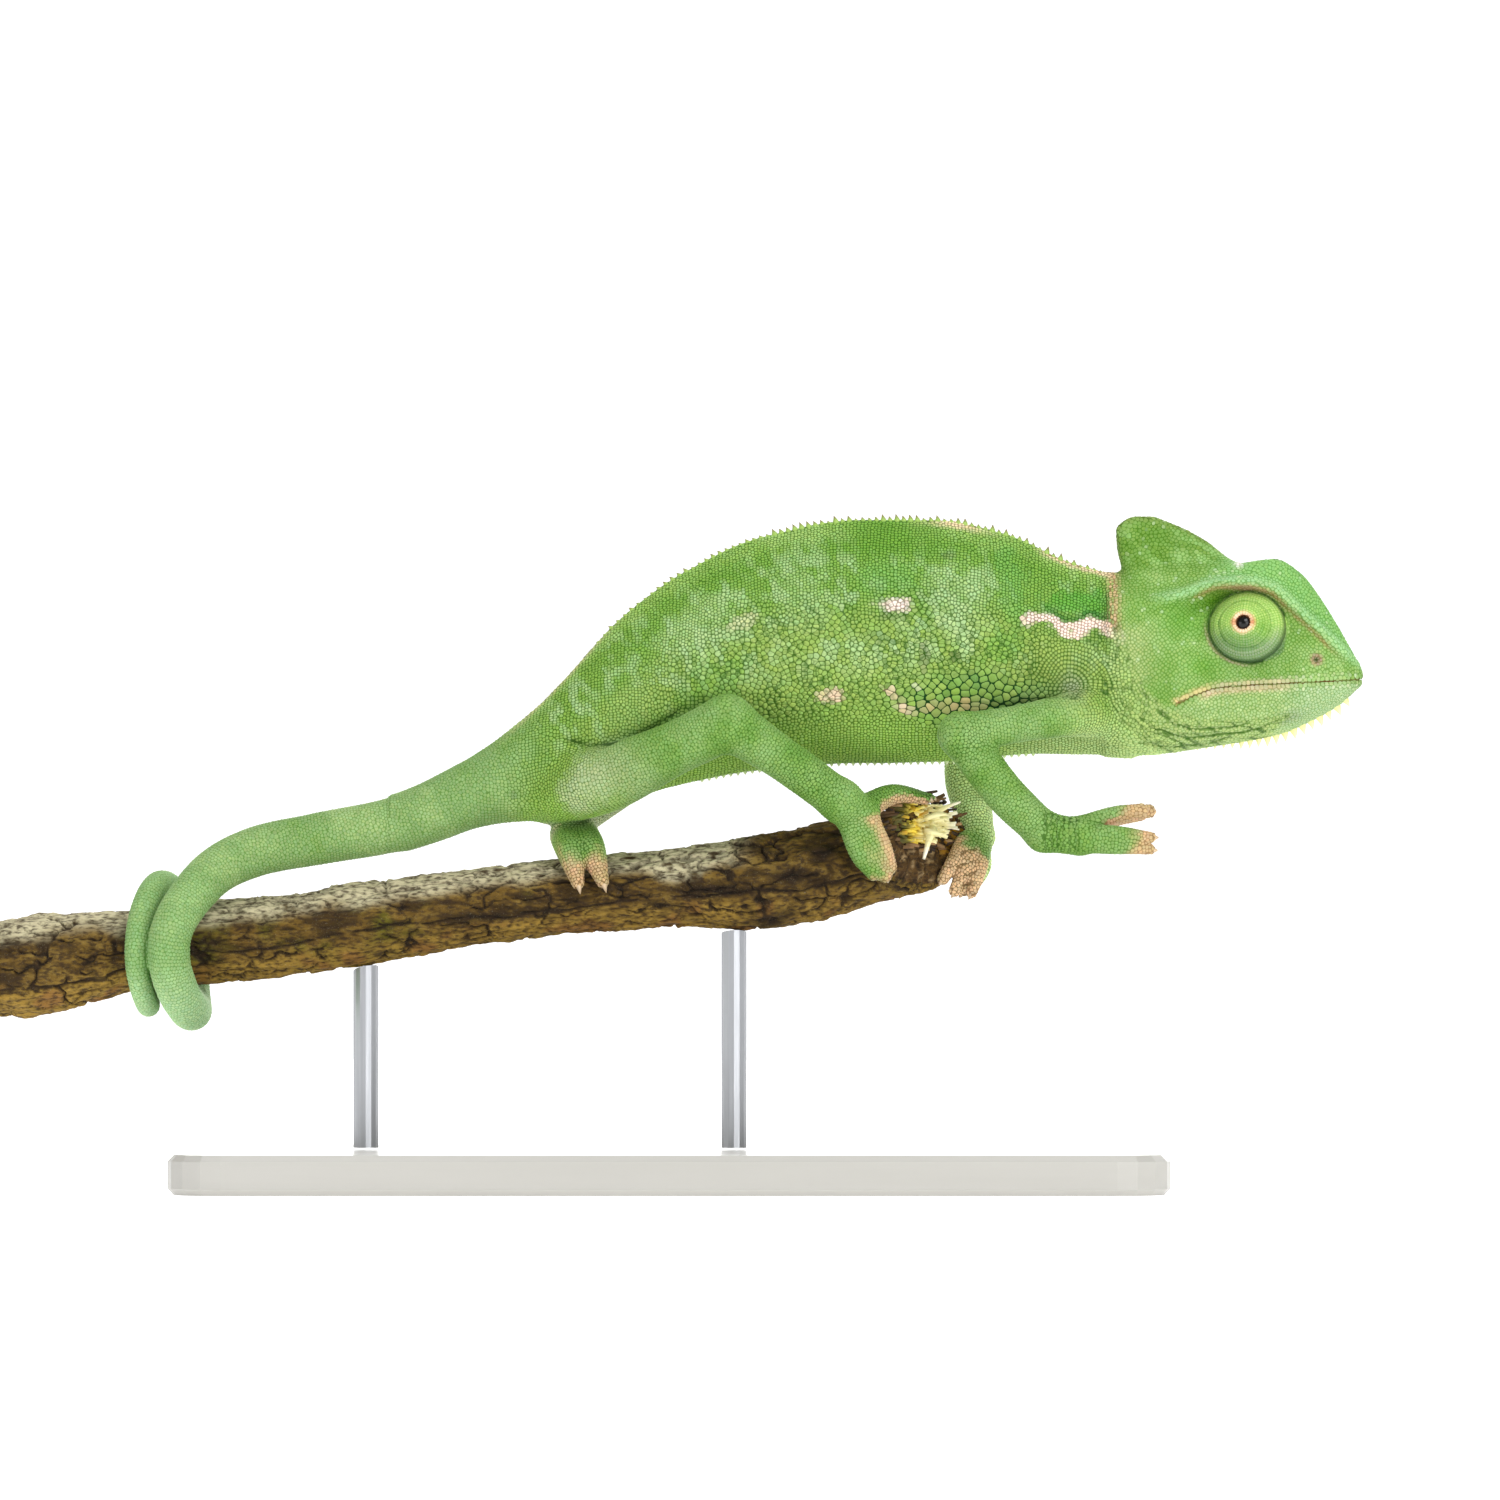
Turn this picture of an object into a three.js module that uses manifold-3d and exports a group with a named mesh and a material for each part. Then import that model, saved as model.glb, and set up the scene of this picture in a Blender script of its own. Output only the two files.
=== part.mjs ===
// A young veiled chameleon, life size, walking to the end of a short cut length of branch with its tail wound
// twice round the wood and one hand raised. The branch stands on a plain display stand.
// Millimetres, +Z up. The animal faces +X and its right side faces -Y. The origin is the middle of the stand's
// underside.
import * as THREE from "three";
import { mergeVertices } from "three/addons/utils/BufferGeometryUtils.js";
import Module from "manifold-3d";

const wasm = await Module();
wasm.setup();

// ---------------------------------------------------------------- driving dimensions

const GAP = 0.3; // left between pieces that meet
const FINENESS = 0.06; // flat spots smaller than this are joined into larger faces
const TAIL_ROOT_X = -24; // where the tail leaves the trunk
const NECK_X = [48, 57.5]; // the neck's back and front
const HEAD_X = [54.8, 86.6]; // the back of the skull and the tip of the snout
const CREST_TOOTH = { pitch: 1.65, height: 0.9, thick: 0.8, root: 1.6 };
const GULAR_TOOTH = { pitch: 1.65, height: 1.1, thick: 0.8, root: 1.2 };
const JAW_ANGLE_X = 62.6; // the corner of the mouth
const EYE = { x: 72.5, y: 4.2, z: 70.1, ball: 1.5, ballOut: 3.55, leanX: -0.9, leanZ: 0.9 };
const TURRET = [[4.9, 0], [4.8, 1.2], [4.1, 2.6], [2.9, 3.7], [1.5, 4.4]]; // radius, height
const TOE = { root: 1.3, radius: 1.1, tip: 0.8, claw: 1.6, point: 0.27, spacing: 1.6 };
const BASE = { length: 124, width: 62, height: 5, corner: 6, bevel: 0.8 };
const ROD = { radius: 1.6, places: [-38, 8] };

// Each profile below is a list of [x, value] knots, in millimetres along the body.
const BACK = [[-24, 54.2], [-14, 63.2], [-6, 71.7], [2, 77.5], [12, 81.9], [24, 83.9], [33, 83.9], [42, 82.1],
  [50, 78.6], [58, 76.4]];
const BELLY = [[-24, 45.4], [-16, 46], [-8, 47.6], [0, 50.2], [10, 52.2], [22, 53.2], [34, 53.4], [46, 54.4],
  [58, 54.2]];
const HALF_WIDTH = [[-24, 3.7], [-14, 5.2], [-4, 6.6], [8, 7.6], [22, 8.1], [36, 7.6], [48, 6.4], [58, 5.8]];

// The head's section is a smooth ring through named levels: the roof's middle, the crest, the orbit's rim, the
// orbit, the lip, the mouth, the jaw and the chin.
const ROOF_Z = [[54, 76.4], [64, 78], [72.5, 77.9], [76, 77.6], [80, 74.6], [83.7, 69.2], [86, 66]];
const CREST_Z = [[54, 75.6], [64, 77], [70.6, 78.2], [75.6, 78.9], [78.7, 77.2], [81.2, 74.1], [83.7, 70.1], [86, 66.1]];
const CREST_Y = [[54, 2], [64, 3], [72.5, 3.8], [76, 3.6], [80, 2.9], [83.7, 1.9], [86, 0.9]];
const RIM_Z = [[54, 73], [64, 74], [68.5, 75.7], [72.5, 75.6], [75, 75], [77.4, 72.9], [81, 69.7], [84, 66.9], [86, 65.3]];
const RIM_Y = [[54, 4.8], [64, 6], [72.5, 6], [76, 5.5], [80, 4.4], [83.7, 2.9], [86, 1.4]];
const ORBIT_Y = [[54, 5.6], [64, 6.4], [68, 5.2], [72.5, 4.4], [76, 4.2], [80, 4], [83.7, 2.9], [86, 1.5]];
const LIP_Y = [[54, 5.6], [64, 7.2], [68, 6.9], [72.5, 6.2], [76, 5.5], [80, 4.4], [83.7, 3.1], [86, 1.5]];
const MOUTH_Z = [[54, 60.5], [63, 60.8], [65.6, 61.9], [68.7, 62.8], [78.7, 63.4], [86.6, 63.8]];
const CHIN_Z = [[54, 54.5], [58, 54.2], [66, 55], [71, 55.8], [76.2, 56.8], [81.2, 59], [83.7, 60.5], [86, 62.6]];

// Every limb station is [x, y, z, radius].
const TAIL_START = [[-15, 0, 54.6, 4.7], [-24, 0, 49.9, 4], [-33.7, 0, 45.9, 3.55], [-44, -0.5, 43.9, 3.35],
  [-52, -1.5, 42.2, 3.2], [-57.4, -4.2, 39.3, 3]];
const TAIL_TURN = { from: 75, to: 700, step: 25 }; // degrees round the branch, from its top over the near side
const TAIL_TURN_X = [[75, -61.9], [90, -62.4], [180, -59.8], [270, -60.8], [360, -63.9], [450, -67], [540, -65.6],
  [630, -66.4], [700, -68.6]];
const TAIL_TURN_RADIUS = [[75, 2.75], [180, 2.6], [270, 2.4], [360, 2.15], [450, 1.8], [540, 1.55], [630, 1.2], [700, 0.7]];
const TAIL_TURN_LOOSE = [[75, 1], [90, 0.9], [180, 0.3], [700, 0.15]]; // air between the tail and the wood
const TAIL_CUTS = [0, 0.13, 0.27, 0.42, 0.56, 0.7, 0.84, 1]; // shares of the tail's stations

const BRANCH = [[-87, 1.4, 27.4, 5.9], [-78.7, 1.2, 28.1, 6.5], [-68, 0.6, 29.8, 5.4], [-45, 0, 32.3, 5.4],
  [-20, -0.4, 35.9, 5.1], [0, -0.6, 37.8, 5.2], [13, -0.7, 38.7, 6.3], [26, -0.6, 41.7, 5.9], [40, -0.2, 43.6, 4.6]];
const BREAK = { x: 31.5, y: -0.5, z: 43, lean: 52 }; // the slanting break at the branch's free end, degrees

const LEGS = {
  hind_right: {
    upper: [[-13.5, -1.5, 50.6, 4.6], [-7.5, -6.6, 51.6, 4.3], [1.4, -9.6, 55.6, 3.4], [7.2, -10.8, 58.4, 3.5]],
    lower: [[7.2, -10.8, 58.4, 3.4], [14.6, -10.9, 53.5, 2.75], [21.6, -9.8, 48.4, 2.5]],
    foot: [[21.6, -9.8, 48.4, 2.5], [24.4, -8.4, 46.8, 2.3]],
    outer: { count: 3, across: [1, 0.1, 0.45], path: [[24, -8.9, 46.4], [25, -9.3, 42.6], [26.7, -8, 39.2]] },
    inner: { count: 2, across: [0.3, 0.95, 0.1], path: [[24.2, -7.6, 47.6], [27.6, -5.2, 49.5], [32.2, -2.6, 49.2]] },
  },
  hind_left: {
    upper: [[-13.5, 1.5, 50.6, 4.6], [-8.5, 7, 52, 4.1], [-3, 10.8, 54.6, 3.5], [0.5, 12.6, 55.4, 3.3]],
    lower: [[0.5, 12.6, 55.4, 3.2], [-5.5, 10.2, 51, 2.7], [-12, 5, 46.2, 2.5]],
    foot: [[-12, 5, 46.2, 2.5], [-11.2, 1.6, 44, 2.3]],
    inner: { count: 2, across: [1, 0, 0.05], path: [[-11.4, 0.8, 43.8], [-10.6, -4.4, 41.8], [-9.4, -6.9, 37.8]] },
    outer: { count: 3, across: [1, 0, 0.1], path: [[-11.4, 3, 43.2], [-11.6, 6, 40.4], [-12, 6, 36.8]] },
  },
  fore_right: {
    upper: [[54, -2.5, 60.2, 3.3], [50, -7, 59.4, 2.8], [43, -9.9, 58.2, 2.4], [36.2, -10.9, 56.9, 2.8]],
    lower: [[36.2, -10.9, 56.9, 2.8], [41.5, -11.4, 49.8, 2.65], [46.6, -11.6, 44.8, 2.45]],
    foot: [[46.6, -11.6, 44.8, 2.5], [51, -11.4, 44.1, 2.5]],
    outer: { count: 2, across: [0.05, -0.25, 1], path: [[51, -12, 43.9], [55, -12.7, 43.6], [58.6, -12.2, 43.3]] },
    inner: { count: 3, across: [0, -1, 0.15], path: [[51, -10.4, 45], [54.6, -9.4, 46.6], [58, -9, 46.6]] },
  },
  fore_left: {
    upper: [[54, 2.5, 60.2, 3.3], [50, 7, 59.2, 2.8], [43.5, 9.9, 57.4, 2.4], [37, 10.6, 55.4, 2.7]],
    lower: [[37, 10.6, 55.4, 2.7], [37, 9.6, 51, 2.5], [38, 7, 46.9, 2.3]],
    foot: [[38, 7, 46.9, 2.3], [38.9, 5.3, 44.2, 2.2]],
    inner: { count: 3, across: [0.5, 0.85, 0.05], path: [[38.6, 4.4, 43.8], [39.4, 1.6, 40.3], [37.2, 0.6, 37.6]] },
    outer: { count: 2, across: [1, -0.1, 0.4], path: [[38, 6.6, 43.4], [36, 8, 40.4], [34.2, 7, 37.4]] },
  },
};

// ---------------------------------------------------------------- shape tools

// A smooth function through [x, value] knots that doesn't overshoot between them.
function profile(knots) {
  const slopes = knots.slice(1).map((k, i) => (k[1] - knots[i][1]) / (k[0] - knots[i][0]));
  const tangents = knots.map((_, i) => {
    if (i === 0) return slopes[0];
    if (i === knots.length - 1) return slopes[i - 1];
    const [a, b] = [slopes[i - 1], slopes[i]];
    return a * b <= 0 ? 0 : (2 * a * b) / (a + b);
  });
  return (x) => {
    const found = knots.findIndex((k) => k[0] > x);
    const i = Math.max(0, (found < 0 ? knots.length : found) - 1);
    if (i >= knots.length - 1) return knots[knots.length - 1][1];
    if (x <= knots[0][0]) return knots[0][1];
    const width = knots[i + 1][0] - knots[i][0];
    const t = (x - knots[i][0]) / width;
    return (2 * t ** 3 - 3 * t ** 2 + 1) * knots[i][1] + (t ** 3 - 2 * t ** 2 + t) * width * tangents[i]
      + (3 * t ** 2 - 2 * t ** 3) * knots[i + 1][1] + (t ** 3 - t ** 2) * width * tangents[i + 1];
  };
}

// A manifold solid from a closed three.js geometry, turned inside out if its faces point inwards.
function solid(geometry) {
  const bare = geometry.index ? geometry.toNonIndexed() : geometry.clone();
  bare.deleteAttribute("normal");
  bare.deleteAttribute("uv");
  const merged = mergeVertices(bare, 1e-4);
  const vertProperties = new Float32Array(merged.attributes.position.array);
  const triVerts = new Uint32Array(merged.index.array);
  const made = new wasm.Manifold(new wasm.Mesh({ numProp: 3, vertProperties, triVerts }));
  if (made.volume() > 0) return made;
  return new wasm.Manifold(new wasm.Mesh({ numProp: 3, vertProperties, triVerts: triVerts.reverse() }));
}

// A solid whose skin passes through rings of points, closed at each end by a fan about the ring's middle.
function loft(rings) {
  const sides = rings[0].length;
  const positions = rings.flat().flatMap((p) => p.toArray());
  const index = [];
  for (let i = 0; i + 1 < rings.length; i++) {
    for (let j = 0; j < sides; j++) {
      const [a, b] = [i * sides + j, i * sides + ((j + 1) % sides)];
      index.push(a, b, a + sides, b, b + sides, a + sides);
    }
  }
  [rings[0], rings[rings.length - 1]].forEach((ring, end) => {
    const middle = ring.reduce((sum, p) => sum.add(p), new THREE.Vector3()).divideScalar(sides);
    const hub = positions.length / 3;
    positions.push(...middle.toArray());
    const first = end ? (rings.length - 1) * sides : 0;
    for (let j = 0; j < sides; j++) {
      const [a, b] = [first + j, first + ((j + 1) % sides)];
      index.push(...(end ? [hub, a, b] : [hub, b, a]));
    }
  });
  const geometry = new THREE.BufferGeometry();
  geometry.setAttribute("position", new THREE.Float32BufferAttribute(positions, 3));
  geometry.setIndex(index);
  return solid(geometry);
}

// Moves a ring of points away from its middle.
function grown(ring, grow) {
  const middle = ring.reduce((sum, p) => sum.add(p), new THREE.Vector3()).divideScalar(ring.length);
  return ring.map((p) => p.clone().add(p.clone().sub(middle).setLength(grow)));
}

// A limb along [x, y, z, radius] stations, with rounded ends if round is true.
function limb(stations, { sides = 9, rings = 6, grow = 0, from = 0, to = 1, round = true } = {}) {
  const curve = new THREE.CatmullRomCurve3(stations.map((s) => new THREE.Vector3(s[0], s[1], s[2])));
  const radiusAt = profile(stations.map((s, i) => [i / (stations.length - 1), s[3]]));
  const made = [];
  let across = new THREE.Vector3(0, 1, 0);
  const addRing = (t, ahead, share) => {
    const along = curve.getTangent(t);
    across = across.clone().addScaledVector(along, -across.dot(along)).normalize();
    const side = new THREE.Vector3().crossVectors(along, across);
    const radius = radiusAt(t) + grow;
    const middle = curve.getPoint(t).addScaledVector(along, ahead * radius);
    made.push(Array.from({ length: sides }, (_, j) => {
      const angle = (2 * Math.PI * j) / sides;
      return middle.clone()
        .addScaledVector(across, radius * share * Math.cos(angle))
        .addScaledVector(side, radius * share * Math.sin(angle));
    }));
  };
  const caps = round ? [55] : [];
  caps.forEach((a) => addRing(from, -Math.sin(THREE.MathUtils.degToRad(a)), Math.cos(THREE.MathUtils.degToRad(a))));
  for (let i = 0; i <= rings; i++) addRing(from + ((to - from) * i) / rings, 0, 1);
  [...caps].reverse()
    .forEach((a) => addRing(to, Math.sin(THREE.MathUtils.degToRad(a)), Math.cos(THREE.MathUtils.degToRad(a))));
  return loft(made);
}

// The largest body of a solid: a cut can leave a sliver that belongs to nothing.
function largest(made) {
  return made.decompose().reduce((a, b) => (a.volume() > b.volume() ? a : b));
}

// Cuts a solid back from others and keeps what is left of its main body.
function clearOf(made, ...others) {
  return largest(others.reduce((left, other) => left.subtract(other), made));
}

// A flat plate of a side outline in X and Z, centred on the plane of symmetry.
function plate(points, thick) {
  const outline = new THREE.Shape(points.map(([x, z]) => new THREE.Vector2(x, z)));
  const geometry = new THREE.ExtrudeGeometry(outline, { depth: thick, bevelEnabled: false });
  return solid(geometry.rotateX(Math.PI / 2).translate(0, thick / 2, 0));
}

// A row of teeth along a profile, standing up for side 1 and down for side -1.
function teeth(edge, from, to, tooth, side) {
  const top = [];
  const count = Math.round((to - from) / tooth.pitch);
  for (let i = 0; i < count; i++) {
    const x = from + i * tooth.pitch;
    const height = tooth.height * Math.sin((Math.PI * (i + 1)) / (count + 1)) ** 0.4;
    top.push([x, edge(x) - side * 0.1], [x + tooth.pitch / 2, edge(x + tooth.pitch / 2) + side * height]);
  }
  top.push([to, edge(to) - side * 0.1]);
  const root = top.filter((_, i) => i % 4 === 0).map(([x]) => [x, edge(x) - side * tooth.root]);
  root.push([to, edge(to) - side * tooth.root]);
  return plate([...top, ...root.reverse()], tooth.thick);
}

// ---------------------------------------------------------------- trunk, neck and head

const back = profile(BACK);
const belly = profile(BELLY);
const halfWidth = profile(HALF_WIDTH);
const chin = profile(CHIN_Z);

// The trunk's upright section: widest below the middle and narrow along the back.
function trunkRing(x, grow = 0, sides = 16) {
  const ring = Array.from({ length: sides }, (_, j) => {
    const angle = (2 * Math.PI * j) / sides;
    const height = (1 - Math.cos(angle)) / 2;
    const width = Math.sin(Math.PI * height ** 0.84) ** 0.78 || 0;
    const y = Math.sign(Math.sin(angle)) * halfWidth(x) * width;
    return new THREE.Vector3(x, Math.abs(y) < 1e-6 ? 0 : y, belly(x) + (back(x) - belly(x)) * height);
  });
  return grow ? grown(ring, grow) : ring;
}

function trunkLoft(from, to, rings, grow = 0) {
  return loft(Array.from({ length: rings + 1 }, (_, i) => trunkRing(from + ((to - from) * i) / rings, grow)));
}

const levels = {
  roof: profile(ROOF_Z), crestZ: profile(CREST_Z), crestY: profile(CREST_Y), rimZ: profile(RIM_Z), rimY: profile(RIM_Y),
  orbitY: profile(ORBIT_Y), lipY: profile(LIP_Y), mouth: profile(MOUTH_Z),
};

// The head's section at x, a smooth ring through its named levels.
function headRing(x, grow = 0, sides = 20) {
  const { roof, crestZ, crestY, rimZ, rimY, orbitY, lipY, mouth } = levels;
  const half = [
    [0, roof(x)], [crestY(x), crestZ(x)], [rimY(x), rimZ(x)], [orbitY(x), (rimZ(x) + mouth(x) + 2) / 2],
    [lipY(x), mouth(x) + 1.2], [0.98 * lipY(x), mouth(x) - 1.2], [0.72 * lipY(x), 0.35 * mouth(x) + 0.65 * chin(x)],
    [0, chin(x)],
  ];
  const points = [...half, ...half.slice(1, -1).reverse().map(([y, z]) => [-y, z])];
  const curve = new THREE.CatmullRomCurve3(points.map(([y, z]) => new THREE.Vector3(x, y, z)), true);
  const ring = Array.from({ length: sides }, (_, j) => curve.getPointAt(j / sides));
  return grow ? grown(ring, grow) : ring;
}

function headLoft(grow = 0) {
  const rings = 16;
  const [from, to] = HEAD_X;
  const made = Array.from({ length: rings + 1 }, (_, i) => {
    const share = Math.sin((Math.PI / 2) * (i / rings)) ** 0.9; // closer rings towards the snout
    return headRing(from - grow + (to - 0.5 - from) * share, grow);
  });
  const tip = made[made.length - 1].map((p) => new THREE.Vector3(to + grow, p.y * 0.45, 64.2 + (p.z - 64.2) * 0.45));
  return loft([...made, tip]);
}

// The casque is a stack of level, lens-shaped sections from the skull's roof up to its rounded peak.
function casque() {
  const backEdge = profile([[74, 56.6], [77, 56.1], [80, 55.7], [82.6, 55.9], [84, 57.3], [84.4, 59]]);
  const frontEdge = profile([[74, 76], [77, 73.4], [78.6, 70.6], [81.8, 66.2], [84, 61.4], [84.4, 60.2]]);
  const halfThick = profile([[74, 5.9], [76.5, 4.9], [79, 3], [82, 1.5], [84, 0.75], [84.4, 0.35]]);
  const heights = [74.4, 77, 79, 81, 82.6, 83.7, 84.3];
  const sides = 12;
  return loft(heights.map((z) => Array.from({ length: sides }, (_, j) => {
    const angle = (2 * Math.PI * j) / sides;
    const [b, f] = [backEdge(z), frontEdge(z)];
    const bulge = Math.sign(Math.sin(angle)) * Math.abs(Math.sin(angle)) ** 0.75;
    return new THREE.Vector3((b + f) / 2 - ((f - b) / 2) * Math.cos(angle), halfThick(z) * bulge, z);
  })));
}

// A thin sheet along the mouth and down behind the jaw's angle, which parts the lower jaw from the skull.
function mouthCut() {
  const xs = [JAW_ANGLE_X, 65.6, 68.7, 73, 78.7, 83, 88];
  const upper = xs.map((x) => [x, levels.mouth(x) + GAP / 2]);
  const lower = xs.slice(1).map((x) => [x, levels.mouth(x) - GAP / 2]);
  return plate([...upper, ...lower.reverse(), [JAW_ANGLE_X + GAP, levels.mouth(JAW_ANGLE_X)],
    [JAW_ANGLE_X + GAP + 1.5, 50], [JAW_ANGLE_X + 1.5, 50]], 24);
}

// The eye's turret, a low dome of lid whose axis leans a little back and up. side is -1 for the right eye.
function turret(side, grow = 0) {
  const outline = [...TURRET.map(([r, h]) => new THREE.Vector2(r + grow, h)), new THREE.Vector2(0, 4.55 + grow)];
  const geometry = new THREE.LatheGeometry([new THREE.Vector2(0, -1.5), new THREE.Vector2(TURRET[0][0] + grow, -1.5),
    ...outline], 14);
  if (side < 0) geometry.rotateX(Math.PI);
  geometry.rotateZ((-side * EYE.leanX) / TURRET.at(-1)[1]).rotateX((side * EYE.leanZ) / TURRET.at(-1)[1]);
  return solid(geometry.translate(EYE.x, side * EYE.y, EYE.z));
}

function eyeball(side, grow = 0) {
  const geometry = new THREE.SphereGeometry(EYE.ball + grow, 10, 6);
  return solid(geometry.translate(EYE.x + 0.8 * EYE.leanX, side * (EYE.y + EYE.ballOut - 0.25), EYE.z + 0.8 * EYE.leanZ));
}

// ---------------------------------------------------------------- tail, branch and legs

const branchCurve = ["1", "2", "3"].map((axis) => profile(BRANCH.map((s) => [s[0], s[Number(axis)]])));

// The tail's stations: along the air from the trunk, then round the branch by formula.
function tailStations() {
  const [branchY, branchZ, branchRadius] = branchCurve;
  const [xAt, radiusAt, looseAt] = [TAIL_TURN_X, TAIL_TURN_RADIUS, TAIL_TURN_LOOSE].map(profile);
  const turns = [];
  for (let degrees = TAIL_TURN.from; degrees <= TAIL_TURN.to; degrees += TAIL_TURN.step) {
    const [x, radius] = [xAt(degrees), radiusAt(degrees)];
    const reach = branchRadius(x) + radius + looseAt(degrees);
    const angle = THREE.MathUtils.degToRad(degrees);
    turns.push([x, branchY(x) - reach * Math.sin(angle), branchZ(x) + reach * Math.cos(angle), radius]);
  }
  return [...TAIL_START, ...turns];
}

function branch(grow = 0) {
  return limb(BRANCH, { sides: 12, rings: 13, grow, round: false });
}

// Everything beyond the slanting break, which faces the free end and the near side.
function beyondBreak() {
  const geometry = new THREE.BoxGeometry(30, 60, 40).translate(15, 0, 0);
  geometry.rotateZ(THREE.MathUtils.degToRad(-BREAK.lean));
  return solid(geometry.translate(BREAK.x, BREAK.y, BREAK.z));
}

// A bundle of joined toes, each tapering into its claw.
function toeBundle({ count, across, path }, grow = 0) {
  const spread = new THREE.Vector3(...across).setLength(TOE.spacing);
  const [root, knuckle, tip] = path.map((p) => new THREE.Vector3(...p));
  const clawTip = tip.clone().add(tip.clone().sub(knuckle).setLength(TOE.claw));
  let made = null;
  for (let i = 0; i < count; i++) {
    const place = i - (count - 1) / 2;
    const stations = [[root, 0.5, TOE.root], [knuckle, 0.85, TOE.radius], [tip, 1.05, TOE.tip], [clawTip, 1.1, TOE.point]]
      .map(([p, share, radius]) => [...p.clone().addScaledVector(spread, place * share).toArray(), radius]);
    const toe = limb(stations, { sides: 5, rings: 5, grow });
    made = made ? made.add(toe) : toe;
  }
  return made;
}

// One leg's pieces in order from the body, each cut back from the pieces before it.
function leg(spec, around) {
  const shapes = {
    upper: (grow) => limb(spec.upper, { grow }),
    lower: (grow) => limb(spec.lower, { rings: 4, grow }),
    foot: (grow) => limb(spec.foot, { rings: 2, grow }),
    inner: (grow) => toeBundle(spec.inner, grow),
    outer: (grow) => toeBundle(spec.outer, grow),
  };
  const before = [...around];
  return Object.entries(shapes).map(([name, shape]) => {
    const piece = clearOf(shape(0), ...before);
    before.push(shape(GAP));
    return [name, piece];
  });
}

// ---------------------------------------------------------------- stand

function standBase() {
  const [w, h, c] = [BASE.length / 2 - BASE.bevel, BASE.width / 2 - BASE.bevel, BASE.corner];
  const outline = new THREE.Shape();
  outline.moveTo(-w + c, -h).lineTo(w - c, -h).absarc(w - c, -h + c, c, -Math.PI / 2, 0)
    .lineTo(w, h - c).absarc(w - c, h - c, c, 0, Math.PI / 2)
    .lineTo(-w + c, h).absarc(-w + c, h - c, c, Math.PI / 2, Math.PI)
    .lineTo(-w, -h + c).absarc(-w + c, -h + c, c, Math.PI, 1.5 * Math.PI);
  return solid(new THREE.ExtrudeGeometry(outline, {
    depth: BASE.height - 2 * BASE.bevel, bevelThickness: BASE.bevel, bevelSize: BASE.bevel, bevelSegments: 1,
    curveSegments: 2,
  }).translate(0, 0, BASE.bevel));
}

function standRod(x) {
  const [branchY, branchZ] = branchCurve;
  const height = branchZ(x) - BASE.height - GAP;
  const geometry = new THREE.CylinderGeometry(ROD.radius, ROD.radius, height, 14).rotateX(Math.PI / 2);
  return solid(geometry.translate(x, branchY(x), BASE.height + GAP + height / 2));
}

// ---------------------------------------------------------------- assembly

const MATERIALS = {
  body: new THREE.MeshStandardMaterial({ color: 0x6fa83f, roughness: 0.62, metalness: 0 }),
  head: new THREE.MeshStandardMaterial({ color: 0x86bd62, roughness: 0.58, metalness: 0 }),
  limb: new THREE.MeshStandardMaterial({ color: 0x85b560, roughness: 0.6, metalness: 0 }),
  eye: new THREE.MeshStandardMaterial({ color: 0x120d08, roughness: 0.08, metalness: 0 }),
  bark: new THREE.MeshStandardMaterial({ color: 0x5b4526, roughness: 0.9, metalness: 0 }),
  base: new THREE.MeshStandardMaterial({ color: 0xd9d8d2, roughness: 0.55, metalness: 0 }),
  rod: new THREE.MeshStandardMaterial({ color: 0xb8babc, roughness: 0.3, metalness: 1 }),
};

const chameleon = new THREE.Group();

function add(name, made, material) {
  const { numProp, vertProperties, triVerts } = largest(made.simplify(FINENESS)).getMesh();
  const count = vertProperties.length / numProp;
  const positions = Float32Array.from({ length: 3 * count }, (_, i) => vertProperties[Math.floor(i / 3) * numProp + (i % 3)]);
  const geometry = new THREE.BufferGeometry();
  geometry.setAttribute("position", new THREE.BufferAttribute(positions, 3));
  geometry.setIndex(new THREE.BufferAttribute(triVerts, 1));
  geometry.computeVertexNormals();
  const mesh = new THREE.Mesh(geometry, MATERIALS[material]);
  mesh.name = name;
  chameleon.add(mesh);
}

// The head comes first, and each later piece is cut back from the ones that it meets.
const skull = headLoft().add(teeth(chin, 66.5, 83.5, GULAR_TOOTH, -1));
const [head, jaw] = skull.subtract(mouthCut()).decompose().sort((a, b) => b.volume() - a.volume());
const sides = [["right", -1], ["left", 1]];
add("head", clearOf(head, ...sides.map(([, side]) => turret(side, GAP))), "head");
add("lower_jaw", jaw, "head");
add("casque", clearOf(casque(), headLoft(GAP)), "head");
sides.forEach(([name, side]) => {
  add(`eye_turret_${name}`, clearOf(turret(side), eyeball(side, 0.05)), "head");
  add(`eye_${name}`, eyeball(side), "eye");
});

const neck = clearOf(trunkLoft(NECK_X[0] + GAP, NECK_X[1], 3), headLoft(GAP));
add("neck", neck, "body");
const crest = teeth(back, -5, NECK_X[0] - GAP, CREST_TOOTH, 1);
add("trunk", trunkLoft(TAIL_ROOT_X, NECK_X[0], 17).add(crest), "body");

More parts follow.
